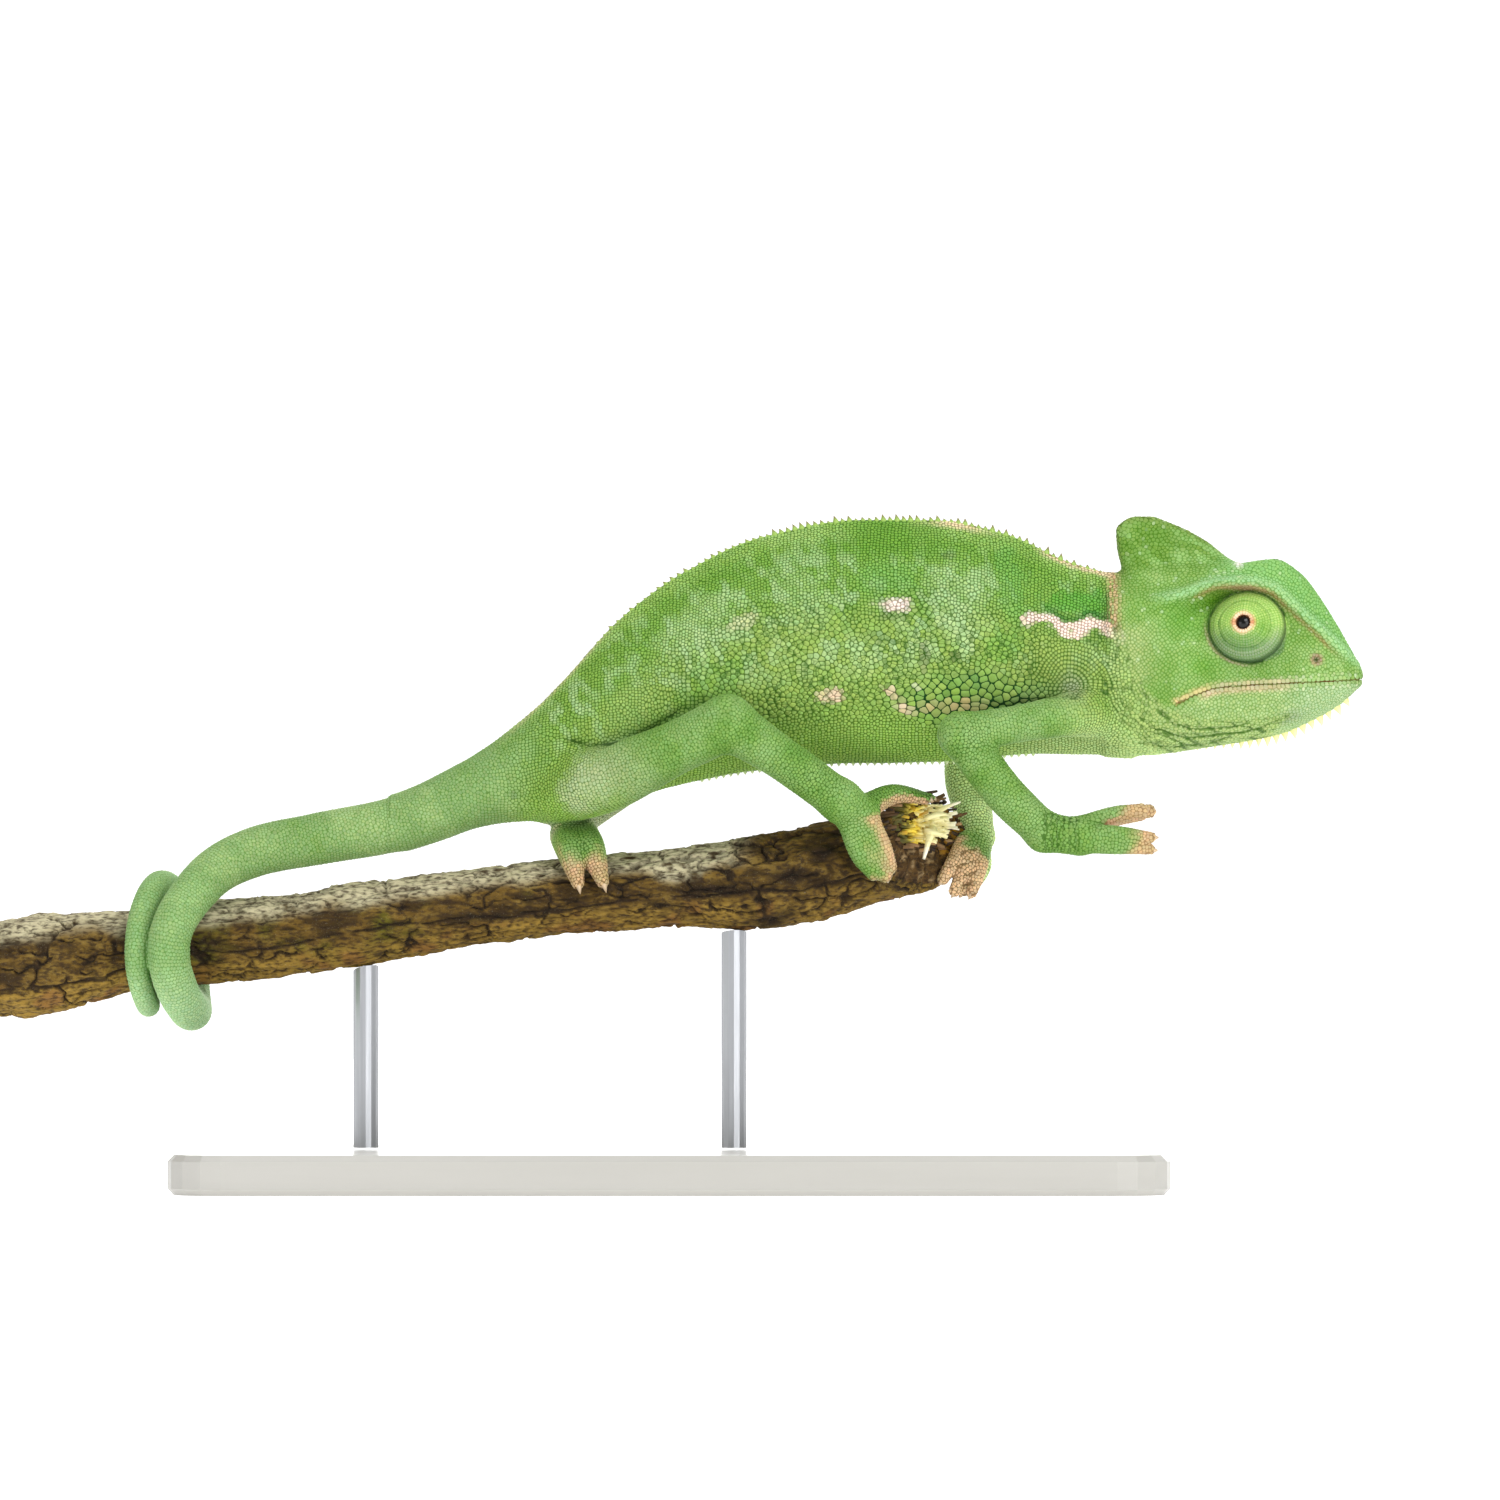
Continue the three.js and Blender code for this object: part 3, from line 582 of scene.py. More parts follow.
@dataclass(frozen=True)
class Head:
    """The wedge of the skull with its crests, the casque, and the turrets of the eyes."""

    reach: tuple[float, float] = (54.8, 86.6)
    snout_z: float = 64.2
    roof: Profile = Profile(
        ((54, 76.4), (64, 78), (72.5, 77.9), (76, 77.6), (80, 74.6), (83.7, 69.2), (86, 66))
    )
    crest_z: Profile = Profile(
        (
            (54, 75.6), (64, 77), (70.6, 78.2), (75.6, 78.9), (78.7, 77.2), (81.2, 74.1), (83.7, 70.1),
            (86, 66.1)
        )
    )
    crest_y: Profile = Profile(((54, 2), (64, 3), (72.5, 3.8), (76, 3.6), (80, 2.9), (83.7, 1.9), (86, 0.9)))
    rim_z: Profile = Profile(
        (
            (54, 73), (64, 74), (68.5, 75.7), (72.5, 75.6), (75, 75), (77.4, 72.9), (81, 69.7), (84, 66.9),
            (86, 65.3)
        )
    )
    rim_y: Profile = Profile(((54, 4.8), (64, 6), (72.5, 6), (76, 5.5), (80, 4.4), (83.7, 2.9), (86, 1.4)))
    orbit_y: Profile = Profile(
        ((54, 5.6), (64, 6.4), (68, 5.2), (72.5, 4.4), (76, 4.2), (80, 4), (83.7, 2.9), (86, 1.5))
    )
    lip_y: Profile = Profile(
        ((54, 5.6), (64, 7.2), (68, 6.9), (72.5, 6.2), (76, 5.5), (80, 4.4), (83.7, 3.1), (86, 1.5))
    )
    mouth: Profile = Profile(((54, 60.5), (63, 60.8), (65.6, 61.9), (68.7, 62.8), (78.7, 63.4), (86.6, 63.8)))
    chin: Profile = Profile(
        ((54, 54.5), (58, 54.2), (66, 55), (71, 55.8), (76.2, 56.8), (81.2, 59), (83.7, 60.5), (86, 62.6))
    )
    casque_back: Profile = Profile(((74, 57.4), (77, 56.8), (80, 55.9), (82.6, 55.7), (84, 57.1), (84.4, 59)))
    casque_front: Profile = Profile(
        ((74, 76), (77, 73.4), (78.6, 70.6), (81.8, 66.2), (84, 61.4), (84.4, 60.2))
    )
    casque_half: Profile = Profile(((74, 5.9), (76.5, 4.9), (79, 3), (82, 1.5), (84, 0.75), (84.4, 0.35)))
    brow: tuple[Station, ...] = (
        (60.5, 5.4, 73.2, 0.5), (64.5, 6.2, 74.7, 0.6), (68.5, 6.3, 75.6, 0.65), (71.5, 6, 75.9, 0.65),
        (75.5, 5.4, 74.9, 0.6), (78.6, 4.7, 72.2, 0.55), (81.6, 3.8, 69.4, 0.5), (84.4, 2.5, 66.9, 0.4),
    )  # fmt: skip

    def section(self, place: float, sides: int) -> Points:
        """The skull's upright section at one place along it, a smooth ring through its named levels."""
        rim_z, mouth, chin, lip_y = self.rim_z(place), self.mouth(place), self.chin(place), self.lip_y(place)
        half = [
            (0, self.roof(place)),
            (self.crest_y(place), self.crest_z(place)),
            (self.rim_y(place), rim_z),
            (self.orbit_y(place), (rim_z + mouth + 2) / 2),
            (lip_y, mouth + 1.2),
            (0.98 * lip_y, mouth - 1.2),
            (0.72 * lip_y, 0.35 * mouth + 0.65 * chin),
            (0, chin),
        ]
        levels = np.array(half + [(-y, z) for y, z in half[-2:0:-1]], float)
        looped = np.concatenate([levels[-2:], levels, levels[:3]])
        dense = spline(np.insert(looped, 0, place, axis=1), np.linspace(0, 1, 30 * (len(looped) - 1) + 1))
        dense = dense[60 : 60 + 30 * len(levels) + 1]
        gone = travelled(dense)
        even = np.linspace(0, gone[-1], sides, endpoint=False)
        ring = np.stack([np.interp(even, gone, dense[:, axis]) for axis in range(3)], axis=1)
        middle = ring.mean(0)
        return ring - unit(ring - middle) * min(COAT_DEPTH, 0.2 * float(np.ptp(ring[:, 1])))

    def shell(self) -> Shell:
        """The skull and jaw."""
        start, tip = self.reach
        shares = np.sin(np.linspace(0, math.pi / 2, 110)) ** 0.9
        rings = [self.section(start + (tip - 0.5 - start) * share, 110) for share in shares]
        nose = rings[-1] * [0, 0.45, 0.45] + [tip - COAT_DEPTH, 0, 0.55 * self.snout_z]
        return Shell.loft(np.array([*rings, nose]))

    def casque(self) -> Shell:
        """The helmet: level, lens-shaped sections up to a rounded peak."""
        turn = turns(64)
        bulge = np.sign(np.sin(turn)) * np.abs(np.sin(turn)) ** 0.75
        rings = []
        for z in np.concatenate([np.linspace(74.4, 83.4, 36), [83.8, 84.1, 84.25]]):
            rear, front = self.casque_back(z) + COAT_DEPTH, self.casque_front(z) - COAT_DEPTH
            x = (rear + front) / 2 - (front - rear) / 2 * np.cos(turn)
            rings.append(vectors(x, self.casque_half(z) * bulge * 0.97, z - COAT_DEPTH))
        return Shell.loft(np.array(rings))

    def brow_ridge(self, side: int) -> Shell:
        """The ridge from the temple over the eye to the snout. side is -1 on the right and 1 on the left."""
        return Limb(tuple((x, side * (y - 0.2), z, r) for x, y, z, r in self.brow), inset=0).shell(60, 16)


@dataclass(frozen=True)
class Eye:
    """A turret of fused lids round a small ball, on one side of the head."""

    side: int
    centre_x: float = 72.25
    centre_y: float = 4.2
    centre_z: float = 70.1
    lean_x: float = -0.9
    lean_z: float = 0.9
    rise: float = 4.5
    ball_radius: float = 1.45
    lid_opening: float = 1.0
    outline: Profile = Profile(
        (
            (-1.6, 4.8), (0, 4.85), (1.2, 4.78), (2.0, 4.55), (2.6, 4.08), (3.7, 2.95), (4.2, 2.1),
            (4.45, 1.4), (4.6, 0.7)
        )
    )

    @property
    def foot(self) -> Points:
        """The middle of the turret's foot."""
        return np.array([self.centre_x, self.side * self.centre_y, self.centre_z])

    @property
    def gaze(self) -> Points:
        """The way that the eye looks."""
        return unit(np.array([self.lean_x, self.side * self.rise, self.lean_z]))

    def axes(self) -> tuple[Points, Points]:
        """Two directions across the gaze."""
        first = unit(np.cross(UP, self.gaze))
        return first, np.cross(self.gaze, first)

    def oval(self, radius: Points | float) -> Points:
        """How much lower than it is wide a ring of that radius is."""
        return 1 - 0.075 * smooth(1.5, 3.5, radius)

    def lathe(self, heights: Points, radii: Points, sides: int) -> Shell:
        """A form of rings about the gaze, from the foot outwards."""
        first, second = self.axes()
        ways = spokes(first, self.oval(radii)[:, None] * second, turns(sides))
        middle = self.foot + heights[:, None] * self.gaze
        return Shell.loft(middle[:, None] + radii[:, None, None] * ways)

    def turret(self) -> Shell:
        """The dome of lid."""
        heights = np.linspace(-1.6, 4.6, 50)
        return self.lathe(heights, self.outline(heights) - COAT_DEPTH, 72)

    def skirt(self, radius: Points) -> Points:
        """How far out along the gaze the turret's surface is at each radius."""
        heights = np.linspace(-1, 4.6, 200)
        return np.interp(-radius, -self.outline(heights), heights)

    def socket(self) -> Shell:
        """The round hollow that the turret turns in."""
        heights = np.linspace(1.7, 4, 20)
        return self.lathe(heights, 4.75 + 0.15 * heights, 72)

    def rim(self) -> Shell:
        """The raised ring round the opening of the lids."""
        count, sides = 40, 14
        spoke = spokes(*self.axes(), turns(count))
        middle = self.foot + self.gaze * 4.36 + spoke * self.lid_opening * 1.2
        points = middle[:, None] + 0.24 * spokes(spoke, self.gaze, turns(sides))
        i, j = np.meshgrid(np.arange(count), np.arange(sides), indexing="ij")
        corner = [(i + a) % count * sides + (j + b) % sides for a, b in ((0, 0), (1, 0), (1, 1), (0, 1))]
        return Shell(points.reshape(-1, 3), np.stack(corner, axis=-1).reshape(-1, 4))

    def opening(self) -> Shell:
        """The hole between the lids."""
        heights = np.linspace(2.6, 6, 8)
        return self.lathe(heights, np.full(8, self.lid_opening), 48)

    @property
    def ball_centre(self) -> Points:
        """The middle of the eyeball, whose front lies just inside the lids."""
        return self.foot + self.gaze * (self.rise - self.ball_radius - 0.12)

    def own(self, points: Points) -> Points:
        """Whether points are on this eye's side of the head."""
        return points[:, 1] * self.side > 0

    def local(self, points: Points) -> tuple[Points, Points]:
        """How far points are along the gaze from the turret's foot, and the radius of their ring."""
        away = points - self.foot
        wide, tall = (away @ axis for axis in self.axes())
        radius = np.hypot(wide, tall)
        return away @ self.gaze, np.hypot(wide, tall / self.oval(radius))


# ---------------------------------------------------------------- limbs

BRANCH: tuple[Station, ...] = (
    (-87, 1.4, 27.4, 5.9), (-78.7, 1.2, 28.1, 6.5), (-68, 0.6, 29.8, 5.4), (-45, 0, 32.3, 5.4),
    (-20, -0.4, 35.9, 5.1),
    (0, -0.6, 37.8, 5.2), (13, -0.7, 38.7, 6.3), (26, -0.6, 41.7, 5.9), (40, -0.2, 43.6, 4.6),
)  # fmt: skip


@dataclass(frozen=True)
class Tail:
    """The tail: straight out from the trunk, then wound round the branch, over the near side first."""

    start: tuple[Station, ...] = (
        (-15, 0, 54.6, 4.7), (-24, 0, 49.9, 4), (-33.7, 0, 45.9, 3.55), (-44, -0.5, 43.9, 3.35),
        (-52, -1.5, 42.2, 3.2),
        (-57.4, -4.2, 39.3, 3),
    )  # fmt: skip
    turns: tuple[int, int, int] = (75, 650, 25)  # first and last angle from the branch's top, and the step
    x: Profile = Profile(
        ((75, -61.9), (90, -62.4), (180, -59.8), (270, -60.8), (360, -63.7), (450, -66.4), (540, -65.2),
         (630, -66),
         (650, -66.4))
    )
    radius: Profile = Profile(
        ((75, 2.75), (180, 2.6), (270, 2.4), (360, 2.05), (450, 1.65), (540, 1.5), (630, 1.1), (650, 0.8))
    )
    slack: Profile = Profile(((75, 1), (90, 0.9), (180, 0.3), (650, 0.15)))

    def limb(self) -> Limb:
        """The whole tail as one limb."""
        first, last, step = self.turns
        angles = np.arange(first, last + 1, step)
        x, radius = self.x(angles), self.radius(angles)
        y, z, wood = (Profile(tuple((s[0], s[k]) for s in BRANCH))(x) for k in (1, 2, 3))
        reach, turn = wood + radius + self.slack(angles), np.radians(angles)
        wound = np.stack([x, y - reach * np.sin(turn), z + reach * np.cos(turn), radius], axis=1)
        return Limb(self.start + tuple(map(tuple, wound)))


@dataclass(frozen=True)
class Toes:
    """A bundle of toes that are joined to their tips, where the claws stand out."""

    count: int
    across: tuple[float, float, float]
    path: tuple[tuple[float, float, float], ...]
    sole: tuple[float, float, float]
    bare_from: float = 0.75
    spacing: float = 1.6
    radii: tuple[float, float, float] = (1.4, 1.15, 0.8)
    # how far apart the toes are at each place, for the spacing
    fan: tuple[float, float, float] = (0.5, 0.85, 1.0)
    claw: float = 0.8
    bent: float = 0.22  # how much shorter the outer toes are
    hook: tuple[Colour, ...] = ((0.1, -0.1, 0.34), (0.62, -0.16, 0.3), (0.98, 0.02, 0.18), (1.2, 0.26, 0.05))

    def toes(self) -> list[Limb]:
        """Each toe, from the palm to where its claw starts."""
        spread = unit(np.array(self.across, float)) * self.spacing
        made = []
        for i in range(self.count):
            place = i - (self.count - 1) / 2
            path = np.array(self.path)
            path[2] -= (path[2] - path[1]) * self.bent * (abs(place) > 0.6)
            stations = [
                (*(p + spread * place * f), r) for p, f, r in zip(path, self.fan, self.radii, strict=True)
            ]
            made.append(Limb(tuple(stations)))
        return made

    def claws(self) -> list[Shell]:
        """Each toe's claw: a short hook that bends towards the sole."""
        made = []
        down = unit(np.cross(np.array(self.across, float), np.subtract(self.path[2], self.path[1])))
        root, tip = np.array(self.path[0]), np.array(self.path[2])
        if (root - tip) @ down < 0:
            down = -down
        for toe in self.toes():
            end = np.array(toe.stations[2][:3])
            ahead = unit(end - np.array(toe.stations[1][:3]))
            stations = tuple(
                (*(end + ahead * (along * self.claw) + down * (drop * self.claw)), radius)
                for along, drop, radius in self.hook
            )
            made.append(Limb(stations, inset=0).shell(14, 12))
        return made


@dataclass(frozen=True)
class Leg:
    """One leg: upper limb, lower limb, foot and the two opposed bundles of toes."""

    name: str
    upper: tuple[Station, ...]
    lower: tuple[Station, ...]
    foot: tuple[Station, ...]
    inner: Toes
    outer: Toes

    @property
    def root(self) -> tuple[float, float, float]:
        """Where the leg leaves the trunk."""
        return self.upper[0][:3]

    @property
    def bundles(self) -> tuple[Toes, Toes]:
        """Both bundles of toes."""
        return self.inner, self.outer

    def limbs(self) -> tuple[Limb, Limb, Limb]:
        """The three lengths of the leg."""
        return Limb(self.upper), Limb(self.lower), Limb(self.foot)

    def line(self, count: int) -> Points:
        """The leg's middle line, from the trunk to the palm, with that many points in each length of it."""
        return np.concatenate([limb.line(count) for limb in self.limbs()])

    def path(self) -> Points:
        """The leg's middle line and on along its inner toes."""
        return np.concatenate([self.line(6), np.array(self.inner.path)])


HIND_RIGHT = Leg(
    "hind_right",
    ((-13.5, -1.5, 50.6, 4.6), (-7.5, -6.6, 51.6, 4.3), (1.4, -9.6, 55.6, 3.4), (7.2, -10.8, 58.4, 3.5)),
    ((7.2, -10.8, 58.4, 3.4), (14.6, -10.9, 53.5, 2.75), (21.2, -9.8, 48.7, 2.7)),
    ((21.2, -9.8, 48.7, 2.75), (23.6, -8.4, 46.9, 2.6)),
    inner=Toes(2, (0.3, 0.95, 0.1), ((24.2, -7.6, 47.8), (27.9, -5.2, 49.5), (32.2, -3, 48.9)),
               (0.2, -0.5, -0.85), 1.1,
               radii=(1.6, 1.25, 0.75)),
    outer=Toes(3, (1, 0.1, 0.4), ((23.4, -8.9, 46.4), (25, -9.5, 42.6), (26.8, -8.8, 39.3)),
               (0.96, -0.3, 0.05), 0.95,
               spacing=1.5, radii=(1.75, 1.5, 0.95), fan=(0.6, 0.85, 0.78)),
)
HIND_LEFT = Leg(
    "hind_left",
    ((-13.5, 1.5, 50.6, 4.6), (-8.5, 7, 52, 4.1), (-3, 10.8, 54.6, 3.5), (0.5, 12.6, 55.4, 3.3)),
    ((0.5, 12.6, 55.4, 3.2), (-5.5, 10.2, 51, 2.7), (-12, 5, 46.2, 2.5)),
    ((-12, 5, 46.2, 2.5), (-11.8, 1.6, 44.4, 2.5)),
    inner=Toes(2, (1, 0, 0.05), ((-12, 0.8, 44.4), (-11.1, -4.8, 42.4), (-9.9, -7.2, 38.5)),
               (-0.95, 0.1, -0.3), 0.72,
               spacing=3.1, radii=(2.4, 1.9, 0.9), claw=1.2),
    outer=Toes(3, (1, 0, 0.1), ((-11.4, 3, 43.2), (-11.6, 6, 40.4), (-12, 6, 36.8)), (0, -1, 0)),
)
FORE_RIGHT = Leg(
    "fore_right",
    ((54, -2.5, 60.2, 3.3), (50, -7, 59.4, 2.8), (43, -9.9, 58.2, 2.4), (36.2, -10.9, 56.9, 2.8)),
    ((36.2, -10.9, 56.9, 2.8), (41.5, -11.4, 49.8, 2.65), (46.6, -11.6, 44.8, 2.45)),
    ((46.6, -11.6, 44.8, 2.5), (51, -11.4, 44.2, 2.45)),
    inner=Toes(3, (0, -1, 0.15), ((50.8, -10.4, 45.3), (55.2, -9.4, 46.7), (59.6, -9, 47.4)),
               (0, -0.3, -0.95), 0.62,
               radii=(1.3, 1.2, 1.0)),
    outer=Toes(2, (0.05, -0.25, 1), ((51, -12, 44), (55.6, -12.7, 43.8), (59.8, -12.2, 43.4)),
               (0.3, 0.9, 0.3), 0.75,
               radii=(1.5, 1.2, 0.75)),
)
FORE_LEFT = Leg(
    "fore_left",
    ((54, 2.5, 60.2, 3.3), (50, 7, 59.2, 2.8), (43.5, 9.9, 57.4, 2.4), (37, 10.6, 55.4, 2.7)),
    ((37, 10.6, 55.4, 2.7), (36.8, 9.6, 51, 2.4), (38, 7, 46.9, 2.3)),
    ((38, 7, 46.9, 2.3), (38.6, 5.3, 44.2, 2.3)),
    inner=Toes(3, (0.9, 0.2, -0.42), ((38, 3.6, 43.2), (37, 1.2, 40.4), (35.6, 0.2, 37.4)), (-0.7, -0.7, 0),
               bare_from=0.25, spacing=1.75, radii=(1.45, 1.05, 0.85), fan=(0.6, 1.0, 1.15)),
    outer=Toes(2, (1, -0.1, 0.4), ((38.2, 6.6, 43.4), (38.6, 7.8, 40.2), (37.4, 7, 37.6)), (-1, 0, 0)),
)
LEGS = (HIND_RIGHT, HIND_LEFT, FORE_RIGHT, FORE_LEFT)


# ---------------------------------------------------------------- markings


class Wash:
    """Colours at many points, over which washes of other colours are laid."""

    def __init__(self, start: str | Points, count: int = 1) -> None:
        """Starts with one colour at that many points, or with each point's own colour."""
        self.rgb = np.repeat(linear(start)[None], count, 0) if isinstance(start, str) else start

    def lay(self, colour: str | Points, share: Points) -> "Wash":
        """Lays another colour over these.

        Args:
            colour: One colour, or the colours of another wash.
            share: How much of it each point takes, cut to the range from 0 to 1.

        Returns:
            This wash.
        """
        share = np.clip(share, 0, 1)[:, None]
        over = linear(colour) if isinstance(colour, str) else colour
        self.rgb = self.rgb * (1 - share) + over * share
        return self


@dataclass(frozen=True)
class Patch:
    """An oval marking on both flanks, seen from the side."""

    x: float
    z: float
    length: float
    height: float
    colour: str
    strength: float = 1.0
    tilt: float = 0.0

    def cover(self, points: Points, wobble: Points) -> Points:
        """How much of the marking each point has, from 0 to 1."""
        turn = math.radians(self.tilt)
        x, z = points[:, 0] - self.x, points[:, 2] - self.z
        along = (x * math.cos(turn) + z * math.sin(turn)) / self.length
        across = (z * math.cos(turn) - x * math.sin(turn)) / self.height
        return self.strength * smooth(1.4, 0.6, np.hypot(along, across) + wobble)


@dataclass(frozen=True)
class Crease:
    """A fold in the skin, along a path seen from the side. side is -1 for the right only and 0 for both."""

    path: tuple[tuple[float, float], ...]
    depth: float = 0.25
    width: float = 0.2
    # how much painted shade darkens the fold
    dark: float = 0.8
    side: int = 0


CREASES = (
    Crease(((60.2, 60.6), (62.6, 58.4), (64.9, 57.6), (69.4, 57.7), (73, 58.6)), 0.2, 0.13, 0.9),
    Crease(
        ((57.4, 60.2), (59.8, 57.9), (64.4, 56.5), (67.4, 56.7), (73.2, 57.6), (77.8, 59.4)), 0.22, 0.14, 1.0
    ),
    Crease(((57.5, 55.9), (61.1, 55.6), (62.9, 55.4), (67.1, 55.8), (70.6, 56.7)), 0.18, 0.12, 0.8),
    Crease(((59.4, 58.3), (61.2, 57.5), (62.8, 56.3), (64.4, 55.6)), 0.16, 0.12, 0.8),
    *(
        Crease(((46.9 + 0.75 * k, 47.6), (46.5 + 0.8 * k, 45), (46.8 + 0.75 * k, 42)), 0.24, 0.13, 0.62, -1)
        for k in range(6)
    ),
    *(
        Crease(((34.4, z - 0.3), (36.3, z), (38.6, z + 0.7)), 0.3, 0.13, 0.45)
        for z in (36.6, 37.9, 39.2, 40.6, 42.1)
    ),
    Crease(((51.6, 62.6), (50.4, 61.6), (47.4, 61.2), (43.6, 60.8), (39, 60)), 0.4, 0.35, 0.5),
    Crease(((-13.5, 56.6), (-10.4, 55.6), (-6, 55.9), (-2, 57.8), (2, 60.5)), 0.45, 0.28, 0.75),
    Crease(((63.9, 59.2), (66.5, 60), (70, 60.4), (74, 60.2)), 0.1, 0.6, 0.0),
)


@dataclass(frozen=True)
class Plan:
    """The whole animal's plan, and where its regions lie."""

    trunk: Trunk = Trunk()
    head: Head = Head()
    tail: Limb = Tail().limb()
    eyes: tuple[Eye, Eye] = (Eye(-1), Eye(1))
    shoulder: tuple[float, float] = (50.0, 62.6)
    arc_step: float = 0.52  # how far apart the arcs of scales over the shoulder are
    jaw_fold: tuple[tuple[float, float], ...] = (
        (54.9, 71.5), (56.3, 67), (58.4, 62.2), (61.6, 59.2), (66, 57.9), (72, 57.9), (78, 59.6),
    )  # fmt: skip
    # how far its long scales reach inside and outside the fold
    throat_width: tuple[float, float] = (0.9, 4.2)

    def throat(self, points: Points) -> tuple[Points, Points, Points]:
        """Where each point is in the net of long scales behind and under the jaw.

        Returns:
            How far it is in the net, from 0 to 1, and its places along and outside the fold in millimetres.
        """
        path = np.array([(x, 0, z) for x, z in self.jaw_fold])
        flat = points * [1, 0, 1]
        distance, along = path_distance(flat, path)
        inside = flat[:, 2] > np.interp(flat[:, 0], path[:, 0], path[:, 2])
        reach = np.where(inside, *self.throat_width) * smooth(1, 0.75, along)
        share = smooth(0.3, -0.3, distance - reach) * smooth(0, 0.06, along) * smooth(1, 0.96, along)
        length = np.linalg.norm(np.diff(path, axis=0), axis=1).sum()
        return share, along * length, np.where(inside, -distance, distance)

    def height(self, points: Points) -> Points:
        """How far up the trunk's side each point is, from 0 at the belly to 1 at the back."""
        x, _, z = points.T
        return (z - self.trunk.belly(x)) / (self.trunk.back(x) - self.trunk.belly(x))

    def flank(self, points: Points) -> Points:
        """How far each point is on the trunk's side and not on a leg, the head or the tail."""
        x, y, _ = points.T
        return smooth(9.3, 8.7, np.abs(y)) * smooth(57, 55.5, x) * smooth(-22, -14, x)

    def large(self, points: Points) -> Points:
        """How far each point is in the field of large scales above the elbow."""
        x, _, z = points.T
        away = np.hypot((x - 36.6) / 10.8, (z - 61.6 - 0.05 * (x - 36)) / 3.7)
        return smooth(1.05, 0.6, away + 0.22 * noise(points * [1, 0, 1], 3, 57, 2)) * self.flank(points)

    def middle(self, points: Points) -> Points:
        """How far each point is in the middle of the flank, where scales are broad and set in wavy rows."""
        x, height = points[:, 0], self.height(points)
        share = smooth(0.76, 0.56, height + 0.12 * noise(points, 4, 59, 2)) * smooth(0.12, 0.26, height)
        return share * smooth(-6, 8, x) * smooth(49, 44, x) * self.flank(points) * (1 - self.large(points))

    def sway(self, points: Points) -> Points:
        """How far the arcs over the shoulder are pushed out of true, the same on both sides."""
        return 0.95 * noise(points * [1, 0, 1], 3.1, 61, 2)

    def head_share(self, points: Points) -> Points:
        """How far each point is on the head and not on the neck, whose edge slants forwards to the throat."""
        x, _, z = points.T
        return smooth(
            -0.5, 0.5, x - np.interp(z, [54, 57, 60, 63.5, 67.5, 71], [66, 61.6, 59.6, 57.8, 56, 55.4])
        )

    def folds(self, points: Points) -> tuple[Points, Points]:
        """The creases at each point.

        Returns:
            How deep the skin lies in them, and how much painted shade they take, from 0 to 1.
        """
        deep, dark = np.zeros(len(points)), np.zeros(len(points))
        flat = (points + 0.16 * drift(points, 1.1, 47)) * [1, 0, 1]
        strength = 0.75 + 0.5 * noise(points, 1.7, 53, 2)
        for crease in CREASES:
            path = np.array([(px, 0, pz) for px, pz in crease.path])
            inside = (flat >= path.min(0) - 1.5) & (flat <= path.max(0) + 1.5)
            near = np.flatnonzero(inside[:, 0] & inside[:, 2])
            if crease.side:
                near = near[points[near, 1] * crease.side > 8.2]
            elif path[:, 2].min() > 50:
                near = near[np.abs(points[near, 1]) < 8.8]
            distance, along = path_distance(flat[near], path)
            ends = smooth(0, 0.12, along) * smooth(1, 0.88, along) * strength[near]
            deep[near] = np.maximum(deep[near], crease.depth * bump(distance, crease.width) * ends)
            dark[near] = np.maximum(dark[near], crease.dark * bump(distance, crease.width) * ends)
        return deep, dark

    def legs(self, points: Points, normals: Points) -> tuple[Points, Points]:
        """How much of a leg each point is, and how much of a bare sole or toe tip, both from 0 to 1."""
        leg_share, bare = np.zeros(len(points)), np.zeros(len(points))
        for leg in LEGS:
            distance, along = path_distance(points, leg.line(7))
            leg_share = np.maximum(leg_share, smooth(5.6, 3.8, distance) * smooth(0.1, 0.26, along))
            for toes in leg.bundles:
                distance, along = path_distance(points, np.array(toes.path))
                leg_share = np.maximum(leg_share, smooth(3.6, 2.6, distance))
                sole = smooth(0.3, 0.75, normals @ unit(np.array(toes.sole))) * smooth(0, 0.12, along)
                ragged = along + 0.14 * noise(points, 1.2, 163, 2)
                tip = smooth(toes.bare_from - 0.12, toes.bare_from + 0.16, ragged)
                bare = np.maximum(bare, smooth(3.3, 2.5, distance) * np.maximum(sole, tip))
        return leg_share, bare


